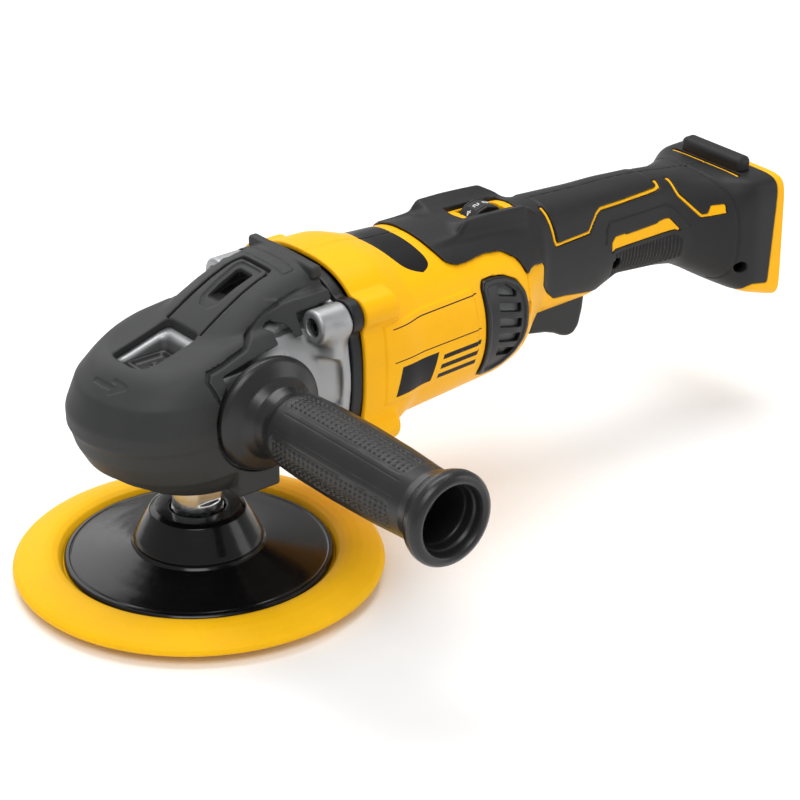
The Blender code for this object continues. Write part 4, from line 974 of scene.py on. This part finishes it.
def dial_field(p):
    x, y, z = p
    rx, rz = x - DIAL_X, z - DIAL_Z
    radius, angle = np.hypot(rx, rz), np.arctan2(rz, rx)
    facets = 12
    turn = (angle % (2 * np.pi / facets)) - np.pi / facets
    flat = radius * np.cos(turn) - 11.1
    d = smax(flat, radius - 11.7, 0.6)
    d = smax(d, np.abs(y) - 5.9, 0.8)
    ridge = np.maximum(np.abs(np.abs(y) - 4.3) - 0.35, -(d + 0.5))
    d = cut(d, ridge, 0.3)
    return cut(d, np.hypot(rx, rz) - 1.9, 0.2)


STROKES = [
    [(0.0, 1.0), (0.0, -1.0)],
    [(-0.6, 0.7), (-0.2, 1.0), (0.3, 1.0), (0.6, 0.5), (-0.6, -1.0), (0.6, -1.0)],
    [(-0.6, 1.0), (0.6, 1.0), (0.0, 0.2), (0.6, -0.3), (0.4, -0.9), (-0.2, -1.0), (-0.6, -0.7)],
    [(0.3, -1.0), (0.3, 1.0), (-0.6, -0.4), (0.7, -0.4)],
    [(0.6, 1.0), (-0.5, 1.0), (-0.6, 0.1), (0.3, 0.1), (0.6, -0.4), (0.3, -1.0), (-0.6, -0.9)],
    [(0.5, 1.0), (-0.4, 0.3), (-0.6, -0.5), (-0.1, -1.0), (0.5, -0.6), (0.3, 0.0), (-0.5, -0.2)],
]


def numerals_field(p):
    """Raised figures 1 to 6, each on its own facet of the dial."""
    x, y, z = p
    rx, rz = x - DIAL_X, z - DIAL_Z
    radius, angle = np.hypot(rx, rz), np.arctan2(rz, rx)
    pitch = np.pi / 6
    turn = (angle % pitch) - pitch / 2
    facet = np.floor((angle % (2 * np.pi)) / pitch)
    height = np.abs(radius * np.cos(turn) - 11.15) - 0.15
    d = np.full(np.shape(height), FAR)
    for index in range(12):
        stroke = [(1.5 * u, 1.5 * v) for u, v in STROKES[(11 - index) // 2]]
        line = path_distance((-1.0 * y, radius * np.sin(turn)), stroke) - 0.28
        d = np.where(facet == index, np.minimum(d, np.maximum(line, height)), d)
    return d


def rails_field(p):
    x, y, z = p
    skin = body_skin(p)
    d = np.maximum(skin + SHELL + 0.5, np.abs(x - 342.3) - 0.9)
    across = np.abs(y)
    wall = box((x, across, z), (342.0, 26.6, 67.5), (349.7, 30.0, 118.5), 0.5)
    lip = box((x, across, z), (347.8, 22.0, 67.5), (349.7, 30.0, 118.5), 0.6)
    stop = box((x, across, z), (342.0, -1, 116.0), (348.6, 20.0, 119.4), 0.8)
    return smin(smin(smin(d, wall, 0.6), lip, 0.4), stop, 0.6)


def terminals_field(p):
    d = box(p, (343.6, -14.4, 74), (349.0, 14.4, 108), 1.0)
    for y0 in TERMINAL_ROWS:
        d = cut(d, box(p, (345.2, y0 - 1.0, 78), (352, y0 + 1.0, 104), 0.2), 0.3)
    return d


def blades_field(p):
    d = None
    for y0 in TERMINAL_ROWS:
        blade = box(p, (344.6, y0 - 0.45, 80), (348.8, y0 + 0.45, 102), 0.25)
        d = blade if d is None else np.minimum(d, blade)
    return d


def bumper_field(p):
    d = box(p, (331.2, -22.0, 124.5), (340.8, 22.0, 135.4), 3.2)
    return np.maximum(d, -(body_skin(p) - 0.35))


# Turned pieces


def curve_through(points, corner=0.22, steps=4):
    """A chain of points with each inner corner rounded by a short arc."""
    out = [points[0]]
    for before, here, after in zip(points, points[1:], points[2:]):
        a, b, c = Vector(before), Vector(here), Vector(after)
        reach = min((a - b).length, (c - b).length) * corner
        start = b + (a - b).normalized() * reach
        end = b + (c - b).normalized() * reach
        for i in range(steps + 1):
            t = i / steps
            out.append(tuple((1 - t) ** 2 * start + 2 * t * (1 - t) * b + t * t * end))
    return out + [points[-1]]


def turned_piece(name, profile, look, body, stands_for, segments=192, waves=0.0):
    """A piece turned round the spindle axis. The profile runs from the axis at the top to the axis below."""
    profile = curve_through(profile)
    rng = np.random.default_rng(7)
    phases = rng.uniform(0, 2 * np.pi, 6)
    points, faces = [], []
    angles = np.linspace(0, 2 * np.pi, segments, endpoint=False)
    wobble = sum(np.sin(angles * n + phase) / n for n, phase in zip(range(2, 8), phases)) * waves
    inner = [(r, z) for r, z in profile if r > 0.001]
    for r, z in inner:
        share = min(r / 60.0, 1.0)
        rows = np.stack([r * np.cos(angles), r * np.sin(angles), z + wobble * share], 1)
        points.extend(rows.tolist())
    for row in range(len(inner) - 1):
        for i in range(segments):
            j = (i + 1) % segments
            a, b = row * segments, (row + 1) * segments
            faces.append((a + i, b + i, b + j, a + j))
    for row, z, flip in ((0, profile[0][1], False), (len(inner) - 1, profile[-1][1], True)):
        if profile[0 if row == 0 else -1][0] > 0.001:
            continue
        centre = len(points)
        points.append((0, 0, z))
        for i in range(segments):
            j = (i + 1) % segments
            a, b = row * segments + i, row * segments + j
            faces.append((centre, b, a) if flip else (centre, a, b))
    mesh = bpy.data.meshes.new(name)
    mesh.from_pydata((np.array(points) * MM).tolist(), [], faces)
    mesh.shade_smooth()
    mesh.set_sharp_from_angle(angle=math.radians(50))
    return placed(name, mesh, look, body, stands_for)


def make_pad():
    foam = [(0, 8.2), (64.9, 8.2), (65.6, 10.2), (67.2, 12.6), (70.0, 13.8), (73.5, 14.0), (78.0, 13.3), (83.0, 11.6),
            (86.8, 9.8), (88.5, 8.2), (88.95, 6.6), (88.2, 5.2), (86.2, 4.2), (83.0, 3.0), (80.6, 2.3), (0, 2.3)]
    ring = turned_piece("foam_ring", foam, "foam_skin", "spindle_group", ["pad_foam"], waves=0.05)
    face = [(0, 2.0), (79.4, 2.0), (80.2, 1.6), (79.6, 0.8), (77.8, 0.05), (0, 0.0)]
    low = turned_piece("foam_face", face, "loop_face", "spindle_group", ["pad_face"])
    plate = [(0, 9.8), (13.0, 9.8), (13.0, 34.9), (14.0, 36.0), (20.5, 36.0), (23.0, 35.0), (24.4, 32.6), (27.4, 27.4),
             (30.2, 22.4), (31.2, 20.2), (31.0, 18.6), (32.2, 17.4), (36.0, 16.3), (42.0, 15.0), (50.0, 13.6),
             (60.5, 12.2), (61.3, 11.8), (62.0, 12.1), (63.4, 11.9), (64.2, 11.2), (64.4, 10.2), (64.0, 8.6), (0, 8.5)]
    turned_piece("backing_disc", plate, "glossy_black", "spindle_group", ["backing_plate"])


SPINDLE = Outline([(-4, 107), (5.4, 107), (6.0, 106.4), (6.0, 98), (8.4, 98), (8.4, 59), (12.0, 58.6), (12.0, 36.4),
                   (7.9, 36.4), (7.9, 15.6), (6.6, 14.1), (-4, 14.1)], 0.15, pitch=0.15)


def spindle_field(p):
    x, y, z = p
    d = SPINDLE(np.hypot(x, y), z)
    flats = np.maximum(10.2 - np.abs(y), np.abs(z - 46) - 5.0)
    return cut(d, flats, 0.5)


def coil_spring(name, foot, radius, wire, length, turns, stands_for):
    """A round-wire compression spring standing along Z on its foot, with its end turns lying flat."""
    steps, sides = 24 * turns, 8
    points, faces = [], []
    for i in range(steps + 1):
        share = i / steps
        angle = 2 * math.pi * turns * share
        rise = min(max((share * turns - 0.75) / (turns - 1.5), 0.0), 1.0)
        middle = Vector((foot[0] + radius * math.cos(angle), foot[1] + radius * math.sin(angle),
                         foot[2] + wire + (length - 2 * wire) * rise))
        out = Vector((math.cos(angle), math.sin(angle), 0))
        for j in range(sides):
            turn = 2 * math.pi * j / sides
            points.append(tuple((middle + wire * (math.cos(turn) * out + Vector((0, 0, math.sin(turn))))) * MM))
    for i in range(steps):
        for j in range(sides):
            k = (j + 1) % sides
            faces.append((i * sides + j, i * sides + k, (i + 1) * sides + k, (i + 1) * sides + j))
    faces.append(tuple(reversed(range(sides))))
    faces.append(tuple(range(steps * sides, (steps + 1) * sides)))
    mesh = bpy.data.meshes.new(name)
    mesh.from_pydata(points, [], faces)
    mesh.shade_smooth()
    return placed(name, mesh, "steel", "machine", [stands_for])


def make_springs():
    """The two springs, under the lock button and behind the trigger lever, each with a mesh of its own."""
    spring = coil_spring("lock_coil", (LOCK_X, 0, 101.8), 3.9, 0.35, 9.9, 6, "lock_spring")
    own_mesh(spring)
    spring = coil_spring("trigger_coil", (224.0, 0, 93.6), 3.6, 0.4, 8.3, 5, "trigger_spring")
    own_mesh(spring)


# Everything together


def make_head():
    field_piece("head_boot", boot_field(), (-64, -44, 55), (58, 44, 154), 0.6, "boot_rubber", "machine",
                ["rubber_boot"])
    field_piece("gear_casting", case_field(), (-60, -50, 60), (59, 50, 147), 0.7, "cast_aluminium",
                "machine", ["gear_case"])
    field_piece("lower_cover", cover_field, (-38, -33, 57), (23, 33, 69), 0.6, "black_plastic", "machine",
                ["bearing_cover"])
    field_piece("lock_cap", button_field, (-34, -9, 112), (-8, 9, 118), 0.35, "button_plastic",
                "lock_plunger", ["lock_button"])
    field_piece("gasket", gasket_field, (51, -48, 51), (68, 48, 149), 0.6, "gasket_plastic", "machine",
                ["bearing_plate"])
    for i, (y, z) in enumerate(SCREW_PLACES):
        field_piece(f"socket_screw_{i + 1}", screw_field(y, z), (41.5, y - 4, z - 4), (83, y + 4, z + 4), 0.4,
                    "black_steel", "machine", [f"case_screw_{i + 1}"])


def make_body():
    field_piece("hard_housing", housing_field, (64, -51, 47), (351, 51, 152), 0.62, "yellow_plastic",
                "machine", ["housing_left", "housing_right"])
    field_piece("soft_cover", soft_cover_field, (122, -41, 56), (348, 41, 151), 0.58, "grip_rubber",
                "machine", ["overmould_left", "overmould_right"])
    for label, side in (("left", -1), ("right", 1)):
        near, far = sorted((side * 20, side * 47))
        field_piece(f"air_grille_{label}", vent_field(side), (141, near, 70), (173, far, 126), 0.4,
                    "black_plastic", "machine", [f"vent_frame_{label}"])
        field_piece(f"air_screen_{label}", screen_field(side), (143, near, 72), (171, far, 124), 0.4,
                    "vent_screen", "machine", [f"vent_mesh_{label}"])
    field_piece("trigger_lever_cap", trigger_field, (196, -11, 60), (238, 11, 94), 0.5, "black_plastic",
                "trigger_lever", ["trigger"])
    field_piece("thumb_wheel", dial_field, (161, -7, 121), (187, 7, 147), 0.35, "black_plastic",
                "dial_wheel", ["speed_dial"])
    field_piece("dial_numerals", numerals_field, (162, -4, 121), (186, 4, 146), 0.16, "numeral_ink",
                "dial_wheel")


def make_foot():
    field_piece("battery_guide", rails_field, (341, -36, 60), (350, 36, 126), 0.5, "black_plastic",
                "machine", ["battery_rails"])
    field_piece("terminal_block", terminals_field, (343, -15, 73), (350, 15, 109), 0.4, "grey_plastic",
                "machine", ["battery_terminals"])
    field_piece("terminal_blades", blades_field, (344, -12, 79), (349.5, 12, 103), 0.25, "brass_blades",
                "machine")
    field_piece("rear_bumper", bumper_field, (330.5, -23, 123), (341.5, 23, 137), 0.45, "grip_rubber",
                "machine", ["foot_bumper"])


def make_camera():
    yaw, pitch = math.radians(-38.808), math.radians(26.37)
    back = Vector((math.sin(yaw) * math.cos(pitch), -math.cos(yaw) * math.cos(pitch), math.sin(pitch)))
    right = Vector((math.cos(yaw), math.sin(yaw), 0))
    up = back.cross(right)
    place = Vector((0, 0, 10)) + back * 1370.24 + right * 95.99 + up * 72.54
    data = bpy.data.cameras.new("camera")
    data.sensor_width = 36.0
    data.lens = 128.93
    data.clip_start, data.clip_end = 0.05, 50.0
    camera = bpy.data.objects.new("camera", data)
    camera.matrix_world = Matrix.Translation(place * MM) @ Matrix((right, up, back)).transposed().to_4x4()
    bpy.context.scene.collection.objects.link(camera)
    bpy.context.scene.camera = camera


def make_light(name, place, size, power):
    data = bpy.data.lights.new(name, "AREA")
    data.shape = "RECTANGLE"
    data.size, data.size_y = size
    data.energy = power
    obj = bpy.data.objects.new(name, data)
    obj.location = place
    obj.rotation_euler = (Vector((0.1, -0.02, 0.08)) - Vector(place)).to_track_quat("-Z", "Y").to_euler()
    bpy.context.scene.collection.objects.link(obj)


def make_studio():
    world = bpy.data.worlds.new("studio")
    world.use_nodes = True
    world.node_tree.nodes["Background"].inputs["Color"].default_value = (1.0, 1.0, 1.0, 1)
    world.node_tree.nodes["Background"].inputs["Strength"].default_value = 0.52
    bpy.context.scene.world = world
    make_light("key", (-0.7, -0.8, 1.6), (0.9, 0.9), 13)
    make_light("top", (0.3, 0.4, 1.7), (1.5, 0.9), 19)
    make_light("side", (1.5, -1.2, 0.6), (0.7, 1.1), 5)
    make_light("rear", (0.2, 1.5, 0.9), (1.4, 0.8), 6)
    size = 6.0
    mesh = bpy.data.meshes.new("floor")
    mesh.from_pydata([(-size, -size, 0), (size, -size, 0), (size, size, 0), (-size, size, 0)], [], [(0, 1, 2, 3)])
    floor = bpy.data.objects.new("floor", mesh)
    g = Graph("pale_floor")
    g.put(g.shader.inputs["Base Color"], g.mix(g.spread(g.noise(300.0), 0.3, 0.7, 0.0, 1.0), (0.93, 0.93, 0.93),
                                               (0.95, 0.95, 0.95)))
    g.shader.inputs["Roughness"].default_value = 0.8
    floor.data.materials.append(g.material)
    bpy.context.scene.collection.objects.link(floor)
    bpy.context.scene.view_settings.view_transform = "Standard"


make_finishes()
dress_cad_nodes()
make_camera()
make_studio()
make_pad()
field_piece("spindle_shaft", spindle_field, (-13, -13, 13), (13, 13, 108), 0.5, "chrome", "spindle_group",
            ["spindle"])
make_head()
field_piece("auxiliary_handle", handle_field, (-16, -176, 68), (42, -39, 125), 0.5, "handle_plastic",
            "machine", ["side_handle"])
make_body()
make_foot()
make_springs()
